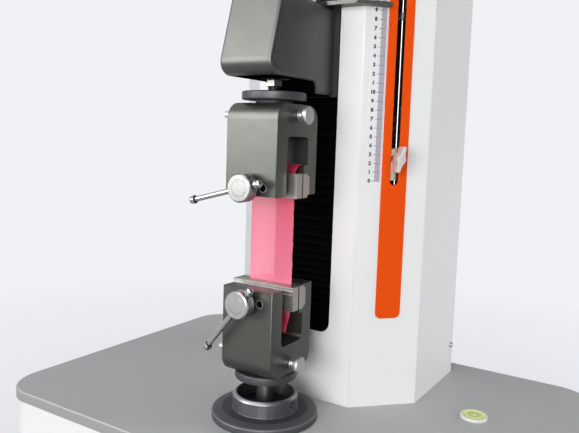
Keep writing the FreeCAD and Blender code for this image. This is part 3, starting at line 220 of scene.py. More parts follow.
def lathe(name, profile, finish, origin, axis, steps=96, reach=None, angle=30):
    points, faces = latheMesh(profile, steps, reach)
    made = addPiece(name, points, faces, finish, angle)
    turn = Vector(axis).to_track_quat("Z", "Y").to_matrix().to_4x4()
    made.matrix_world = Matrix.Translation(Vector(origin) / 1000) @ turn
    return made


def paint(node, finish, bevel=0.0, segments=2, angle=40):
    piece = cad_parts[node]
    if not piece.material_slots:
        piece.data.materials.append(finish.material)
    for slot in piece.material_slots:
        slot.material = finish.material
    if bevel:
        weld = piece.modifiers.new("weld", "WELD")
        weld.merge_threshold = 1e-5
        soft = piece.modifiers.new("bevel", "BEVEL")
        soft.width = bevel / 1000
        soft.segments = segments
        soft.limit_method = "ANGLE"
        soft.angle_limit = math.radians(angle)
        soft.harden_normals = True
        soft.miter_outer = "MITER_ARC"
    return piece


def coated(name, look):  # sprayed, blasted or moulded skin: fine grain, faint clouds, small changes of gloss
    finish = Finish(name, look["colour"], look["roughness"], look.get("metallic", 0.0))
    finish.give("Specular IOR Level", look.get("specular", 0.5))
    finish.give("IOR", look.get("ior", 1.5))
    finish.give("Specular Tint", look.get("sheen", (1, 1, 1)) + (1,))
    grain = finish.noise(look["grain"], 3)
    cloud = finish.noise(look["cloud"], 3)
    speck = finish.between(finish.noise(look["grain"] * 0.7, 1), 0.62, 0.75)
    tone = finish.between(grain * 0.75 + cloud * 0.25, 0.3, 0.7)
    bright = tuple(min(1, part * (1 + 3 * look["vary"])) for part in look["colour"]) + (1,)
    tone = finish.shade(tone, 1 - look["vary"], 1 + look["vary"])
    tone = finish.mix(tone, bright, speck * look.get("specks", 0.0))
    if "shadedRimBelow" in look:  # painted shade: the coat is darker round the rim, below this height
        rim = finish.between(finish.part(finish.place(), 2), look["shadedRimBelow"], look["shadedRimBelow"] - 0.5)
        tone = finish.mix(tone, finish.shade(grain, 0.62, 0.68), rim)
    finish.give("Base Color", tone)
    finish.give("Roughness", look["roughness"] + (cloud - 0.5) * 0.12 + (grain - 0.5) * 0.1)
    finish.bump(grain, look["depth"])
    return finish


columnPaint = coated("columnPaint", {
    "colour": (0.80, 0.80, 0.80), "roughness": 0.45, "grain": 1.1, "cloud": 60, "vary": 0.012, "depth": 0.012,
    "specular": 0.3})
platePaint = coated("platePaint", {
    "colour": (0.455, 0.47, 0.47), "roughness": 0.52, "grain": 0.7, "cloud": 45, "vary": 0.035, "specks": 0.25,
    "depth": 0.02, "specular": 0.3, "shadedRimBelow": 184.3})
gripLook = {
    "colour": (0.016, 0.0168, 0.0135), "roughness": 0.38, "grain": 0.45, "cloud": 14, "vary": 0.16, "specks": 0.5,
    "depth": 0.015, "ior": 1.6, "sheen": (0.96, 1, 0.9)}
hoodCoat = coated("hoodCoat", {
    "colour": (0.021, 0.0215, 0.0195), "roughness": 0.4, "grain": 0.6, "cloud": 25, "vary": 0.14, "specks": 0.5,
    "depth": 0.02, "ior": 1.58, "sheen": (0.97, 1, 0.93)})
hoodShade = {"below": 561.3, "half": 31.6}  # painted shade: the hood's underside and its leg's front give way to dull black
spot = hoodCoat.place()
hoodCoat.blacken(hoodCoat.between(hoodCoat.part(spot, 2), hoodShade["below"], hoodShade["below"] - 0.3)
                 * hoodCoat.between(abs(hoodCoat.part(spot, 0)), hoodShade["half"], hoodShade["half"] - 0.4))
darkAnodised = coated("darkAnodised", {
    "colour": (0.040, 0.040, 0.046), "roughness": 0.48, "grain": 0.4, "cloud": 12, "vary": 0.24, "specks": 0.6,
    "depth": 0.02, "ior": 1.38})
orangePaint = coated("orangePaint", {
    "colour": (0.80, 0.080, 0.003), "roughness": 0.45, "grain": 0.9, "cloud": 40, "vary": 0.03, "depth": 0.008,
    "specular": 0.05})
blackEnamel = coated("blackEnamel", {
    "colour": (0.02, 0.02, 0.021), "roughness": 0.5, "grain": 0.7, "cloud": 20, "vary": 0.1, "specks": 0.1,
    "depth": 0.02})
armBlack = coated("armBlack", {
    "colour": (0.011, 0.011, 0.012), "roughness": 0.6, "grain": 0.6, "cloud": 20, "vary": 0.15, "depth": 0.02,
    "specular": 0.25})
blackPlastic = coated("blackPlastic", {
    "colour": (0.022, 0.022, 0.023), "roughness": 0.48, "grain": 0.3, "cloud": 15, "vary": 0.1, "depth": 0.01})
panelPlastic = coated("panelPlastic", {
    "colour": (0.055, 0.056, 0.06), "roughness": 0.5, "grain": 0.35, "cloud": 20, "vary": 0.08, "depth": 0.012})
footRubber = coated("footRubber", {
    "colour": (0.017, 0.017, 0.018), "roughness": 0.72, "grain": 0.5, "cloud": 10, "vary": 0.2, "specks": 0.2,
    "depth": 0.03, "specular": 0.35})
redPlastic = coated("redPlastic", {
    "colour": (0.58, 0.012, 0.01), "roughness": 0.28, "grain": 1.2, "cloud": 12, "vary": 0.03, "depth": 0.003})
yellowPlastic = coated("yellowPlastic", {
    "colour": (0.82, 0.52, 0.02), "roughness": 0.34, "grain": 1.0, "cloud": 12, "vary": 0.03, "depth": 0.004})
stopPlastic = coated("stopPlastic", {
    "colour": (0.43, 0.38, 0.30), "roughness": 0.5, "grain": 0.5, "cloud": 8, "vary": 0.06, "depth": 0.01})
spot = stopPlastic.place((70, -18, 0))
stopAlong = (stopPlastic.part(spot, 0) + stopPlastic.part(spot, 1)) * math.sqrt(0.5)
# painted shade: the stop right of this line, deep in the slot, gives way to dull black
stopPlastic.blacken(stopPlastic.between(stopAlong, 47.2, 47.5))
scaleTape = coated("scaleTape", {
    "colour": (0.79, 0.79, 0.79), "roughness": 0.36, "grain": 1.5, "cloud": 30, "vary": 0.01, "depth": 0.004,
    "specular": 0.3})
zincSheet = coated("zincSheet", {
    "colour": (0.52, 0.53, 0.55), "roughness": 0.36, "metallic": 0.9, "grain": 1.5, "cloud": 18, "vary": 0.12,
    "depth": 0.006})


def turned(name, look, centre=(0, 0, 0), axis=2):  # metal turned on the given axis through centre: fine rings
    finish = Finish(name, look["colour"], look["roughness"], 1.0)
    spot = finish.place(centre)
    radius = finish.radius(spot, axis)
    along = finish.part(spot, axis)
    rings = finish.lines(radius, look["ring"])
    cloud = finish.noise(6, 3)
    finish.give("Base Color", finish.shade(finish.between(rings * 0.7 + cloud * 0.3, 0.3, 0.7), 0.9, 1.06))
    finish.give("Roughness", look["roughness"] + (cloud - 0.5) * 0.08 + (rings - 0.5) * 0.06)
    height = (rings + finish.lines(along, look["ring"])) * look["depth"]
    if "thread" in look:  # a threaded shank inside the given radius, with the given pitch
        inner = finish.between(radius, look["threadRadius"] + 0.3, look["threadRadius"])
        height = height + inner * finish.ridges(along, look["thread"]) * 0.5
    finish.bump(height, 1.0)
    return finish


# inside and end are painted shade deep in the guide holes; bare is the bare metal of the lip
guide = {"apart": 16, "hole": 4, "lip": 0.45, "inside": (0.003, 0.003, 0.003, 1), "end": (0.004, 0.004, 0.004, 1),
         "endBehind": (-96, -98), "bare": (0.5, 0.5, 0.48, 1), "lipBefore": (-126, -127)}


def ground(name, look, stretch):  # metal ground flat, with scratches along the axis of the smallest stretch
    finish = Finish(name, look["colour"], look["roughness"], 1.0)
    scratches = finish.noise(look["scratch"], 3, finish.place(stretch=stretch), 0.65)
    cloud = finish.noise(7, 3)
    tone = finish.shade(finish.between(scratches * 0.6 + cloud * 0.4, 0.32, 0.68), 0.78, 1.12)
    if "slitAt" in look:  # painted shade where the two jaws meet
        slit = abs(finish.part(finish.place(), 1) - look["slitAt"])
        tone = finish.mix(tone, (0.006, 0.006, 0.006, 1), finish.between(slit, 1.1, 0.8))
    for z in look.get("guides", ()):  # painted shade on the guides' ends, deep in the grip's holes
        for side in (-1, 1):
            spot = finish.place((side * guide["apart"], 0, z))
            end = finish.between(finish.radius(spot, 1), guide["hole"] + 0.3, guide["hole"] + 0.1)
            end = end * finish.between(finish.part(spot, 1), *guide["endBehind"])
            tone = finish.mix(tone, guide["end"], end)
    finish.give("Base Color", tone)
    finish.give("Roughness", look["roughness"] + (scratches - 0.5) * 0.2 + (cloud - 0.5) * 0.14)
    finish.bump(scratches, look["depth"])
    return finish


steelLook = {"colour": (0.29, 0.287, 0.275), "roughness": 0.29, "ring": 0.22, "depth": 0.005}
screwLook = {**steelLook, "thread": 1.75, "threadRadius": 8.6}
chromeLook = {"colour": (0.38, 0.38, 0.37), "roughness": 0.22, "ring": 3, "depth": 0.0001}
rodLook = {"colour": (0.12, 0.12, 0.12), "roughness": 0.16, "ring": 0.5, "depth": 0.003}
pinLook = {**steelLook, "colour": (0.50, 0.51, 0.50), "roughness": 0.42}
studLook = {**steelLook, "colour": (0.22, 0.217, 0.21), "roughness": 0.34}
plainSteel = turned("plainSteel", steelLook)
rodSteel = turned("rodSteel", rodLook)
screwSteel = turned("ballScrewSteel", {**steelLook, "thread": 5, "threadRadius": 8.6}, (0, 42, 0))
cellStudSteel = turned("cellStudSteel", {**studLook, "thread": 1.5, "threadRadius": 5.4}, (0, -88, 0))
mountStudSteel = turned("mountStudSteel", studLook, (0, -88, 0))
jawLook = {"colour": (0.36, 0.355, 0.33), "roughness": 0.36, "scratch": 0.35, "depth": 0.02, "slitAt": -87.85,
           "guides": (323, 446)}
jawSteel = ground("jawSteel", jawLook, (0.04, 1, 1))
railSteel = ground("railSteel", {"colour": (0.6, 0.6, 0.6), "roughness": 0.25, "scratch": 0.4, "depth": 0.008},
                   (1, 1, 0.03))
aluminium = ground("aluminium", {"colour": (0.66, 0.66, 0.67), "roughness": 0.38, "scratch": 0.5, "depth": 0.01},
                   (1, 1, 0.05))
print("finishes made")


view = {
    "eye": (394.56, -667.65, 500.55),
    "yaw": 31.49, "pitch": 5.91, "roll": 2.03,  # degrees: to the left, down, anticlockwise
    "lens": 39.735, "shift": (-0.02098, -0.02376),
}
yaw, pitch, roll = (math.radians(view[key]) for key in ("yaw", "pitch", "roll"))
camera = bpy.data.objects.new("camera", bpy.data.cameras.new("camera"))
scene.collection.objects.link(camera)
camera.matrix_world = (Matrix.Translation(Vector(view["eye"]) / 1000) @ Matrix.Rotation(yaw, 4, "Z")
                       @ Matrix.Rotation(math.pi / 2 - pitch, 4, "X") @ Matrix.Rotation(roll, 4, "Z"))
camera.data.sensor_width = 36
camera.data.lens = view["lens"]
camera.data.shift_x, camera.data.shift_y = view["shift"]
camera.data.clip_start, camera.data.clip_end = 0.01, 100
scene.camera = camera
scene.view_settings.view_transform = "Standard"

backdrop = {"colour": (0.871, 0.888, 0.921, 1), "bounce": (0.45, 0.46, 0.47, 1), "floorSize": 30000,
            "fadeFrom": 500, "fadeTo": 1500, "shadow": 0.35}
half = backdrop["floorSize"] / 2
floorFinish = Finish("floorFinish", backdrop["colour"][:3], 0.9)
distance = floorFinish.node("ShaderNodeVectorMath", {"operation": "LENGTH"}, {0: floorFinish.place()}, 1)
ray = floorFinish.tree.nodes.new("ShaderNodeLightPath")
seen = 0
for kind in ("Is Camera Ray", "Is Glossy Ray", "Is Transmission Ray"):
    seen = floorFinish.larger(seen, Wire(floorFinish, ray.outputs[kind]))
floorFinish.give("Base Color", floorFinish.mix(backdrop["bounce"], backdrop["colour"], seen))
fade = floorFinish.between(distance, backdrop["fadeFrom"], backdrop["fadeTo"]) * backdrop["shadow"]
glow = floorFinish.node("ShaderNodeEmission", {}, {"Color": backdrop["colour"], "Strength": 1.0})
share = seen * (1 - backdrop["shadow"] + fade)
mixed = floorFinish.node("ShaderNodeMixShader", {}, {
    0: share, 1: Wire(floorFinish, floorFinish.shader.outputs[0]), 2: glow})
floorFinish.feed(floorFinish.tree.nodes["Material Output"].inputs["Surface"], mixed)
corners = [(-half, -half, 0), (half, -half, 0), (half, half, 0), (-half, half, 0)]
floor = addPiece("floor", corners, [(0, 1, 2, 3)], floorFinish)

lamps = {  # what each one lights: soft surfaces, shining ones, or both
    "left": {"at": (-1250, -1830, 1170), "aim": (0, -100, 540), "size": (1200, 1700),
             "watts": 82, "lights": "gloss"},
    "glint": {"at": (760, -1850, 950), "aim": (0, -100, 520), "size": (800, 1500),
              "watts": 95, "lights": "gloss"},
    "fill": {"at": (300, -2500, 700), "aim": (30, -40, 480), "size": (1900, 1100),
             "watts": 46, "lights": "soft"},
    "right": {"at": (1900, 1150, 900), "aim": (60, -20, 560), "size": (900, 1200),
              "watts": 22, "lights": "soft"},
    "top": {"at": (-350, -550, 2500), "aim": (0, -50, 300), "size": (1500, 1500),
            "watts": 15, "lights": "both"},
}
for lampName, look in lamps.items():
    lamp = bpy.data.objects.new(lampName + "Lamp", bpy.data.lights.new(lampName + "Lamp", "AREA"))
    scene.collection.objects.link(lamp)
    lamp.data.shape = "RECTANGLE"
    lamp.data.size, lamp.data.size_y = (part / 1000 for part in look["size"])
    lamp.data.energy = look["watts"]
    lamp.location = Vector(look["at"]) / 1000
    lamp.rotation_mode = "QUATERNION"
    lamp.rotation_quaternion = (Vector(look["aim"]) - Vector(look["at"])).to_track_quat("-Z", "Y")
    lamp.visible_camera = False
    lamp.visible_glossy = look["lights"] != "soft"
    lamp.visible_diffuse = look["lights"] != "gloss"

room = {"ambient": (0.30, 0.302, 0.308, 1), "dark": (0.10, 0.102, 0.108, 1), "darkSide": (0.6, 0.78, 0.2)}
world = bpy.data.worlds.new("studio")
scene.world = world
world.use_nodes = True
studio = Graph(world.node_tree)
ray = studio.tree.nodes.new("ShaderNodeLightPath")
direction = studio.node("ShaderNodeTexCoord", {}, {}, 0)
facing = {0: direction, 1: room["darkSide"]}
behind = studio.node("ShaderNodeVectorMath", {"operation": "DOT_PRODUCT"}, facing, 1)
glossTone = studio.mix(backdrop["colour"], room["dark"], studio.between(behind, -0.1, 0.5))
tone = studio.mix(room["ambient"], glossTone, Wire(studio, ray.outputs["Is Glossy Ray"]))
for kind in ("Is Transmission Ray", "Is Camera Ray"):
    tone = studio.mix(tone, backdrop["colour"], Wire(studio, ray.outputs[kind]))
studio.feed(studio.tree.nodes["Background"].inputs["Color"], tone)
print("camera and light set")


coats = {  # node: finish, width of its rounded edges
    "base_top_plate": (platePaint, 0.9), "base_housing": (columnPaint, 0.8), "base_pan": (zincSheet, 0),
    "column_cover": (columnPaint, 0.7), "column_cap": (columnPaint, 0.8), "column_back_cover": (columnPaint, 0.6),
    "side_strip": (orangePaint, 0.25), "ruler_scale": (scaleTape, 0), "control_panel_bezel": (panelPlastic, 0.6),
    "emergency_stop_collar": (yellowPlastic, 0.4), "emergency_stop_button": (redPlastic, 0),
    "mains_inlet": (blackPlastic, 0.3), "power_rocker": (blackPlastic, 0.3), "trip_finger": (blackPlastic, 0.3),
    "column_backbone": (aluminium, 0.3), "shaft_coupling": (aluminium, 0.3), "load_cell": (aluminium, 0.3),
    "guide_rails": (railSteel, 0.3), "rail_blocks": (railSteel, 0.3), "ball_nut": (plainSteel, 0.3),
    "ball_screw": (screwSteel, 0), "screw_bearings": (blackEnamel, 0.4), "drive_motor": (blackEnamel, 0.6),
    "limit_rod": (rodSteel, 0), "cover_screws": (plainSteel, 0.15), "lower_stud": (mountStudSteel, 0),
    "upper_stud": (cellStudSteel, 0),
    "lower_lock_disc": (darkAnodised, 0.3), "upper_lock_disc": (darkAnodised, 0.3),
    "crosshead_arm": (armBlack, 0.4), "lower_fixed_jaw": (jawSteel, 0.25), "upper_fixed_jaw": (jawSteel, 0.25),
    "lower_moving_jaw": (jawSteel, 0.25), "upper_moving_jaw": (jawSteel, 0.25),
    "crosshead_cover": (hoodCoat, 1.2), "hood_plug": (hoodCoat, 0.15), "pointer_plate": (hoodCoat, 0.5),
    "lower_limit_stop": (stopPlastic, 0.3), "upper_limit_stop": (stopPlastic, 0.3),
}
for node, (finish, bevel) in coats.items():
    paint(node, finish, bevel, 3 if bevel > 1 else 2)
for end in ("front", "rear"):
    for side in ("left", "right"):
        paint(f"levelling_foot_{end}_{side}", footRubber)
print("coats laid on")


mountLook = {  # heights are above the base plate
    "axis": (0, -88, 185), "colour": (0.060, 0.061, 0.068), "roughness": 0.46, "grain": 0.4, "cloud": 12,
    "vary": 0.24, "specks": 0.6, "depth": 0.02, "ior": 1.34,
    "dimWithin": (48.9, 48.5), "collarAbove": (10.1, 10.5), "recessWithin": (32.3, 31.9),
    "bareAbove": (24.5, 24.8), "bareOutside": (33, 33.4), "bare": (0.24, 0.24, 0.265, 1),
    "footRadius": 37.4, "footHeight": 10.2, "rimRadius": 59.5, "rimAbove": (6.4, 6.8),
}
mountCoat = coated("mountCoat", mountLook)
spot = mountCoat.place(mountLook["axis"])
radius, height = mountCoat.radius(spot, 2), mountCoat.part(spot, 2)
grain = mountCoat.between(mountCoat.noise(0.4, 3), 0.3, 0.7)
tone = mountCoat.shade(grain, 0.72, 1.3)
# painted shade on the flange's inner ring, inside this radius
tone = mountCoat.mix(tone, mountCoat.shade(grain, 0.42, 0.75), mountCoat.between(radius, *mountLook["dimWithin"]))
raised = mountCoat.between(height, *mountLook["collarAbove"])
tone = mountCoat.mix(tone, mountCoat.shade(grain, 0.62, 1.05), raised)
# painted shade in the collar's recess
tone = mountCoat.mix(tone, (0.006, 0.006, 0.007, 1), mountCoat.between(radius, *mountLook["recessWithin"]))
bare = mountCoat.between(height, *mountLook["bareAbove"]) * mountCoat.between(radius, *mountLook["bareOutside"])
# painted highlights: lighter lines at the collar's foot and round the flange's rim
foot = mountCoat.between(abs(radius - mountLook["footRadius"]), 0.6, 0.3)
foot = foot * mountCoat.between(abs(height - mountLook["footHeight"]), 0.7, 0.4)
rim = mountCoat.between(abs(radius - mountLook["rimRadius"]), 0.7, 0.4)
rim = rim * mountCoat.between(height, *mountLook["rimAbove"])
tone = mountCoat.mix(tone, mountLook["bare"], mountCoat.larger(bare, mountCoat.larger(foot, rim) * 0.35))
mountCoat.give("Base Color", tone)
mountCoat.give("Metallic", mountCoat.larger(bare, foot * 0.3))
mountCoat.give("Roughness", mountLook["roughness"] - bare * 0.12 + (grain - 0.5) * 0.1)
paint("lower_mount_flange", mountCoat, 0.45)


def gripFinish(name, z):  # the grip's coat, with a bare lip and painted shade inside each guide hole
    finish = coated(name, gripLook)
    grain = finish.noise(gripLook["grain"], 3)
    tone = finish.shade(finish.between(grain, 0.3, 0.7), 0.8, 1.25)
    bare = 0
    for side in (-1, 1):
        radius = finish.radius(finish.place((side * guide["apart"], 0, z)), 1)
        within = finish.between(radius, guide["hole"] + 0.1, guide["hole"])
        # painted shade inside the hole
        tone = finish.mix(tone, guide["inside"], within)
        bare = finish.larger(bare, finish.between(abs(radius - guide["hole"] - guide["lip"]), 0.45, 0.25))
    bare = bare * finish.between(finish.part(finish.place(), 1), *guide["lipBefore"])
    finish.give("Base Color", finish.mix(tone, guide["bare"], bare))
    finish.give("Metallic", bare)
    return finish


paint("lower_grip_frame", gripFinish("lowerGripCoat", 323), 1.1, 3)
paint("upper_grip_frame", gripFinish("upperGripCoat", 446), 1.1, 3)
print("mount and grips finished")


touchGlass = Finish("touchGlass", (0.006, 0.006, 0.008), 0.08, Coat_Weight=1.0, Coat_Roughness=0.03)
smear = touchGlass.noise(18, 4)
touchGlass.give("Roughness", 0.06 + touchGlass.between(smear, 0.45, 0.8) * 0.16)
touchGlass.give("Base Color", touchGlass.shade(smear, 0.8, 1.4))
paint("touch_screen", touchGlass, 0.3)

levelLook = {"centre": (200.6, 47.1, 185), "ring": 5.2, "paleFrom": 11.5, "paleTo": 13.6, "rim": 15.3}
levelFinish = Finish("levelFinish", (0.85, 0.96, 0.37), 0.12, Coat_Weight=0.6, Coat_Roughness=0.05)
radius = levelFinish.radius(levelFinish.place(levelLook["centre"]), 2)
tone = levelFinish.shade(levelFinish.between(levelFinish.noise(5, 2), 0.3, 0.7), 0.92, 1.05)
ringed = levelFinish.between(abs(radius - levelLook["ring"]), 0.7, 0.35)
tone = levelFinish.mix(tone, (0.29, 0.34, 0.08, 1), ringed * 0.8)
pale = levelFinish.between(radius, levelLook["paleFrom"], levelLook["paleTo"])
tone = levelFinish.mix(tone, (0.88, 0.90, 0.70, 1), pale)
clear = levelFinish.between(radius, levelLook["rim"], levelLook["rim"] + 0.2)
levelFinish.give("Base Color", levelFinish.mix(tone, (0.75, 0.76, 0.76, 1), clear))
levelFinish.give("Roughness", 0.1 + clear * 0.1)
paint("bullseye_level", levelFinish, 0.2)

knobPlastic = Finish("knobPlastic", (0.60, 0.575, 0.575), 0.36, Subsurface_Weight=0.25, Subsurface_Scale=0.003)
spot = knobPlastic.place((70, -18, 0))
proud = (knobPlastic.part(spot, 0) - knobPlastic.part(spot, 1)) * math.sqrt(0.5)
white = knobPlastic.shade(knobPlastic.noise(3), 0.95, 1.04)
# painted orange light from the strip on the knob's side near the chamfer, white further out
knobPlastic.give("Base Color", knobPlastic.mix((0.72, 0.30, 0.22, 1), white, knobPlastic.between(proud, 9, 22)))
knobPlastic.give("Roughness", 0.3 + knobPlastic.noise(1.5) * 0.1)
knob = {"axis": (99.981, 11.981), "turn": 14, "near": 8.5, "far": 25, "stem": 2.2, "stemFrom": -6.2,
        "z": {"lower": 478.75, "upper": 1089.75},
        "half": [(0, 5.1), (1.6, 4.9), (3.2, 4.1), (5, 3.1), (7.5, 2.4), (10.5, 2.15), (13, 2.1), (14.2, 1.7),
                 (14.8, 1.0), (15, 0.35)]}


def wingKnob(side, look):
    upper = [(wide, up) for up, wide in look["half"]]
    right = [(wide, -up) for wide, up in reversed(upper[1:])] + upper
    rim = right + [(-wide, up) for wide, up in reversed(right)]
    turn = math.radians(look["turn"])
    outward, along = Vector((1, -1, 0)).normalized(), Vector((1, 1, 0)).normalized()
    centre = Vector((*look["axis"], look["z"][side]))
    points = []
    for proud in (look["near"], look["far"]):
        for wide, up in rim:
            sideways = wide * math.cos(turn) + up * math.sin(turn)
            height = up * math.cos(turn) - wide * math.sin(turn)
            points.append(centre + outward * proud + along * sideways + Vector((0, 0, height)))
    count = len(rim)
    faces = [tuple(range(count)), tuple(range(2 * count - 1, count - 1, -1))]
    faces += [(step, (step + 1) % count, (step + 1) % count + count, step + count) for step in range(count)]
    wing = addPiece(side + "_wing_knob", points, faces, knobPlastic, 60)
    soft = wing.modifiers.new("bevel", "BEVEL")
    soft.width, soft.segments, soft.angle_limit = 0.0012, 4, math.radians(50)
    soft.harden_normals = True
    stem = lathe(side + "_knob_stem", [(look["stem"], look["stemFrom"]), (look["stem"], look["near"] + 0.4)],
                 plainSteel, centre, outward, 32)
    for piece, slot in ((wing, "knob_plastic"), (stem, "bright_steel")):
        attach(piece, side + "_knob")
    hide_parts(side + "_stop_knob")


for side in ("lower", "upper"):
    wingKnob(side, knob)
print("glass, level and knobs finished")


gripY = -88
clamps = {  # the steel of each head is toned for where it stands under the lamps
    "lower": {"z": 323, "pin": 251.5, "angle": 231.6, "steel": (0.36, 0.356, 0.34)},
    "upper": {"z": 446, "pin": 522.5, "angle": 195, "steel": (0.195, 0.193, 0.187)},
}
bar = {"headY": -141, "inner": 15.2, "travel": 48, "shank": 3, "sealMiddle": 0.9, "sealEdge": (0.85, 0.65),
       "seal": (0.008, 0.008, 0.008, 1)}
capProfile = [(2.6, 0), (2.6, 0.3), (3.7, 0.5), (3.9, 0.9), (3.7, 1.3), (2.6, 1.5), (2.6, 1.8), (4.3, 1.8),
              (4.7, 2.2), (4.7, 4.0), (4.4, 4.3), (3.7, 4.4), (3.7, 4.9), (4.1, 5.1), (4.2, 6.6), (3.9, 7.6),
              (3.2, 8.4), (2.0, 8.85), (1.1, 9.0), (1.0, 8.6), (0, 8.4)]
barSteel = turned("barSteel", chromeLook)
along = barSteel.part(barSteel.place(), 2)
sealed = 0
for start, sign in ((-bar["inner"], -1), (bar["inner"] + bar["travel"], 1)):
    depth = (along - start) * sign
    sealed = barSteel.larger(sealed, barSteel.between(abs(depth - bar["sealMiddle"]), *bar["sealEdge"]))
barSteel.give("Base Color", barSteel.mix(barSteel.colour, bar["seal"], sealed))
barSteel.give("Metallic", 1 - sealed)
barSteel.give("Roughness", 0.13 + sealed * 0.42 + (barSteel.noise(4, 3) - 0.5) * 0.1)
for side, look in clamps.items():
    headLook = {**screwLook, "colour": look["steel"]}
    paint(side + "_clamp_screw", turned(side + "HeadSteel", headLook, (0, 0, look["z"]), 1), 0.4, 3)
    paint(side + "_cross_pin", turned(side + "PinSteel", pinLook, (0, gripY, look["pin"]), 0), 0.3, 2)
    turn = math.radians(look["angle"])
    axis = (math.cos(turn), 0, math.sin(turn))
    near, far = -bar["inner"], bar["inner"] + bar["travel"]
    profile = [(radius, near - height) for radius, height in reversed(capProfile)]
    profile += [(bar["shank"], near + 0.01), (bar["shank"], far - 0.01)]
    profile += [(radius, far + height) for radius, height in capProfile]
    rod = lathe(side + "_tommy_rod", profile, barSteel, (0, bar["headY"], look["z"]), axis, 48)
    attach(rod, side + "_bar")
    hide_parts(side + "_tommy_bar")

nut = {"bottom": 552.5, "tall": 8, "apothem": 8, "bore": 5.2, "chamfer": 0.9, "steps": 144}
nutSteel = turned("nutSteel", {**steelLook, "colour": (0.17, 0.167, 0.155), "ring": 0.5})
corner = nut["apothem"] / math.cos(math.radians(30))
profile = [(nut["bore"], 0), (nut["apothem"] - 0.4, 0), (corner, nut["chamfer"]),
           (corner, nut["tall"] - nut["chamfer"]), (nut["apothem"] - 0.4, nut["tall"]),
           (nut["bore"], nut["tall"]), (nut["bore"], 0)]


def hexReach(angle, height):
    return nut["apothem"] / math.cos(math.radians(math.degrees(angle) % 60 - 30))


hexNut = lathe("chamfered_nut", profile, nutSteel, (0, gripY, nut["bottom"]), (0, 0, 1), nut["steps"],
               hexReach, 20)
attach(hexNut, "crosshead")
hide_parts("load_cell_nut")
print("screws, bars, pins and nut finished")


scalePrint = {"zero": 453, "long": 620, "bandFrom": 19.5, "bandTo": 25.8, "fiveFrom": 18.6, "tenFrom": 17.0,
              "zeroFrom": 15.6, "middle": 13.1, "digit": 5.7, "bold": 0.36, "line": 0.34, "proud": 0.62}
inkFinish = Finish("inkFinish", (0.022, 0.02, 0.04), 0.45)
inkFinish.give("Roughness", 0.4 + inkFinish.noise(1.5) * 0.15)
bandFinish = Finish("bandFinish", (0.62, 0.58, 0.66), 0.4)
bandFinish.give("Base Color", bandFinish.shade(bandFinish.noise(2, 3), 0.94, 1.05))


def onChamfer(along, proud, z):
    step = math.sqrt(0.5)
    return (70 + step * (along + proud), -18 + step * (along - proud), z)


def figureMesh(text, look):
    curve = bpy.data.curves.new("figure", "FONT")
    curve.body = text
    curve.size = look["digit"]
    curve.align_x, curve.align_y = "CENTER", "CENTER"
    curve.offset = look["bold"]
    curve.resolution_u = 3
    holder = bpy.data.objects.new("figure", curve)
    made = bpy.data.meshes.new_from_object(holder)
    bpy.data.objects.remove(holder)
    return made


def printScale(look):
    points, faces = [], []

    def stroke(alongFrom, alongTo, zFrom, zTo, proud):
        start = len(points)
        for along, z in ((alongFrom, zFrom), (alongTo, zFrom), (alongTo, zTo), (alongFrom, zTo)):
            points.append(onChamfer(along, proud, z))
        faces.append((start, start + 1, start + 2, start + 3))

    for count in range(look["long"] + 1):
        z = look["zero"] + count
        tall = look["line"] / 2 * (1.6 if count % 10 == 0 else 1)
        start = look["bandFrom"] if count % 5 else look["fiveFrom"] if count % 10 else look["tenFrom"]
        stroke(start if count else look["zeroFrom"], look["bandTo"], z - tall, z + tall, look["proud"] + 0.02)
    figures = {text: figureMesh(text, look) for text in [str(count) for count in range(11)]}
    for count in range(look["long"] // 10 + 1):
        text = str((count - 1) % 10 + 1) if count else "0"
        start = len(points)
        for vertex in figures[text].vertices:
            points.append(onChamfer(look["middle"] + vertex.co.x, look["proud"] + 0.02,
                                    look["zero"] + 10 * count + vertex.co.y))
        faces.extend(tuple(start + index for index in face.vertices) for face in figures[text].polygons)
    ink = addPiece("scale_print", points, faces, inkFinish)
    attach(ink, "root")
    points.clear()
    faces.clear()
    stroke(look["bandFrom"], look["bandTo"], look["zero"], look["zero"] + look["long"], look["proud"])
    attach(addPiece("scale_band", points, faces, bandFinish), "root")


printScale(scalePrint)
print("scale printed")


bellowsLook = {"half": 46, "front": -14.7, "deep": 9.5, "segments": 10, "wobble": 0.25}
bellowsCloth = Finish("bellowsCloth", (0.0009, 0.0009, 0.001), 0.6, Specular_IOR_Level=0.05)
weave = bellowsCloth.noise(0.5, 2)
bellowsCloth.give("Base Color", bellowsCloth.shade(bellowsCloth.noise(9, 3), 0.6, 1.5))
bellowsCloth.give("Roughness", 0.55 + (weave - 0.5) * 0.2)
bellowsCloth.bump(weave, 0.03)


def bellows(name, low, high, folds, gather, look):
    heights = [low + (high - low) * (count / folds) ** gather for count in range(folds + 1)]
    path = []
    for start, end in zip(heights, heights[1:]):
        pitch = end - start
        path += [(look["deep"], start), (look["deep"] * 0.93, start + pitch * 0.06),
                 (look["deep"] * 0.07, start + pitch * 0.44), (0, start + pitch * 0.5),
                 (look["deep"] * 0.07, start + pitch * 0.56), (look["deep"] * 0.93, start + pitch * 0.94)]
    path.append((look["deep"], high))
    dice = random.Random(7)
    points, faces = [], []
    across = look["segments"]
    for row, (depth, z) in enumerate(path):
        for column in range(across + 1):
            x = -look["half"] + 2 * look["half"] * column / across
            loose = 0 if row in (0, len(path) - 1) else look["wobble"]
            points.append((x, look["front"] + depth + dice.uniform(-loose, loose) * 0.3,
                           z + dice.uniform(-loose, loose) * 0.4))
    width = across + 1
    for row in range(len(path) - 1):
        for column in range(across):
            first = row * width + column
            faces.append((first, first + 1, first + 1 + width, first + width))
    made = addPiece(name, points, faces, bellowsCloth, 60)
    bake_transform(made)
    return made


lowerBellows = bellows("lower_bellows_cloth", 259, 546.5, 34, 1.5, bellowsLook)
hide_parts("lower_bellows")
upperBellows = bellows("upper_bellows_cloth", 656, 1281, 46, 1.0, bellowsLook)
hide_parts("upper_bellows")
print("bellows folded")


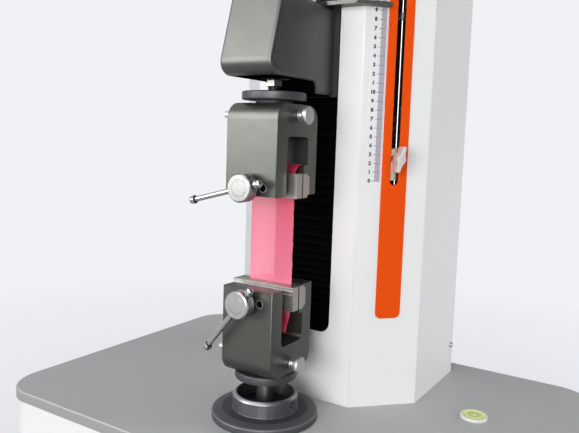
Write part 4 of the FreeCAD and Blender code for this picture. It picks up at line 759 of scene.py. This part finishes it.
filmLook = {
    "left": -26, "right": 30, "columns": 28, "deep": (0.76, 0.085, 0.15, 1), "tail": (0.9, 0.07, 0.15, 1),
    "path": [(-97.0, 287.5), (-95.2, 293), (-92.0, 299), (-89.0, 305), (-87.85, 311), (-87.85, 461),
             (-87.4, 463.2), (-84.4, 466.6), (-80.0, 468.6), (-75.0, 470.4)],
}
filmPink = Finish("filmPink", (0.95, 0.22, 0.34), 0.34, Specular_IOR_Level=0.2)
height = filmPink.part(filmPink.place(), 2)
inside = filmPink.larger(filmPink.between(height, 309, 303), filmPink.between(height, 462.5, 464))
crumple = filmPink.noise(5, 3)
filmPink.give("Alpha", 0.83 + inside * 0.12)
filmPink.give("Roughness", 0.3 + crumple * 0.16)
tone = filmPink.mix(filmLook["deep"], filmPink.shade(crumple, 0.94, 1.05), filmPink.between(height, 450, 350))
filmPink.give("Base Color", filmPink.mix(tone, filmLook["tail"], inside))  # painted shade: deeper toward the top under the upper grip; the tails deeper where the film lies doubled and in painted shade
filmPink.bump(filmPink.noise(30, 2), 0.25)


def filmStrip(look):
    path = []
    for (y0, z0), (y1, z1) in zip(look["path"], look["path"][1:]):
        steps = max(1, round(math.dist((y0, z0), (y1, z1)) / 2))
        path += [(y0 + (y1 - y0) * step / steps, z0 + (z1 - z0) * step / steps) for step in range(steps)]
    path.append(look["path"][-1])
    for turn in range(3):  # rounds the corners of the path
        path = [path[0]] + [tuple((a + 2 * b + c) / 4 for a, b, c in zip(before, here, after))
                            for before, here, after in zip(path, path[1:], path[2:])] + [path[-1]]
    dice = random.Random(11)
    rag = [dice.uniform(-0.35, 0.35) for _ in path]
    points, faces = [], []
    for row, (y, z) in enumerate(path):
        for column in range(look["columns"] + 1):
            share = column / look["columns"]
            x = look["left"] + (look["right"] - look["left"]) * share
            if column == look["columns"]:
                x += rag[row]
            ragged = dice.uniform(-1.2, 1.2) if row == 0 else 0
            points.append((x, y, z + ragged))
    width = look["columns"] + 1
    for row in range(len(path) - 1):
        for column in range(look["columns"]):
            first = row * width + column
            faces.append((first, first + 1, first + 1 + width, first + width))
    made = addPiece("film_strip", points, faces, filmPink, 60)
    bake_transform(made)
    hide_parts("film_specimen")


filmStrip(filmLook)
print("film strip hung")
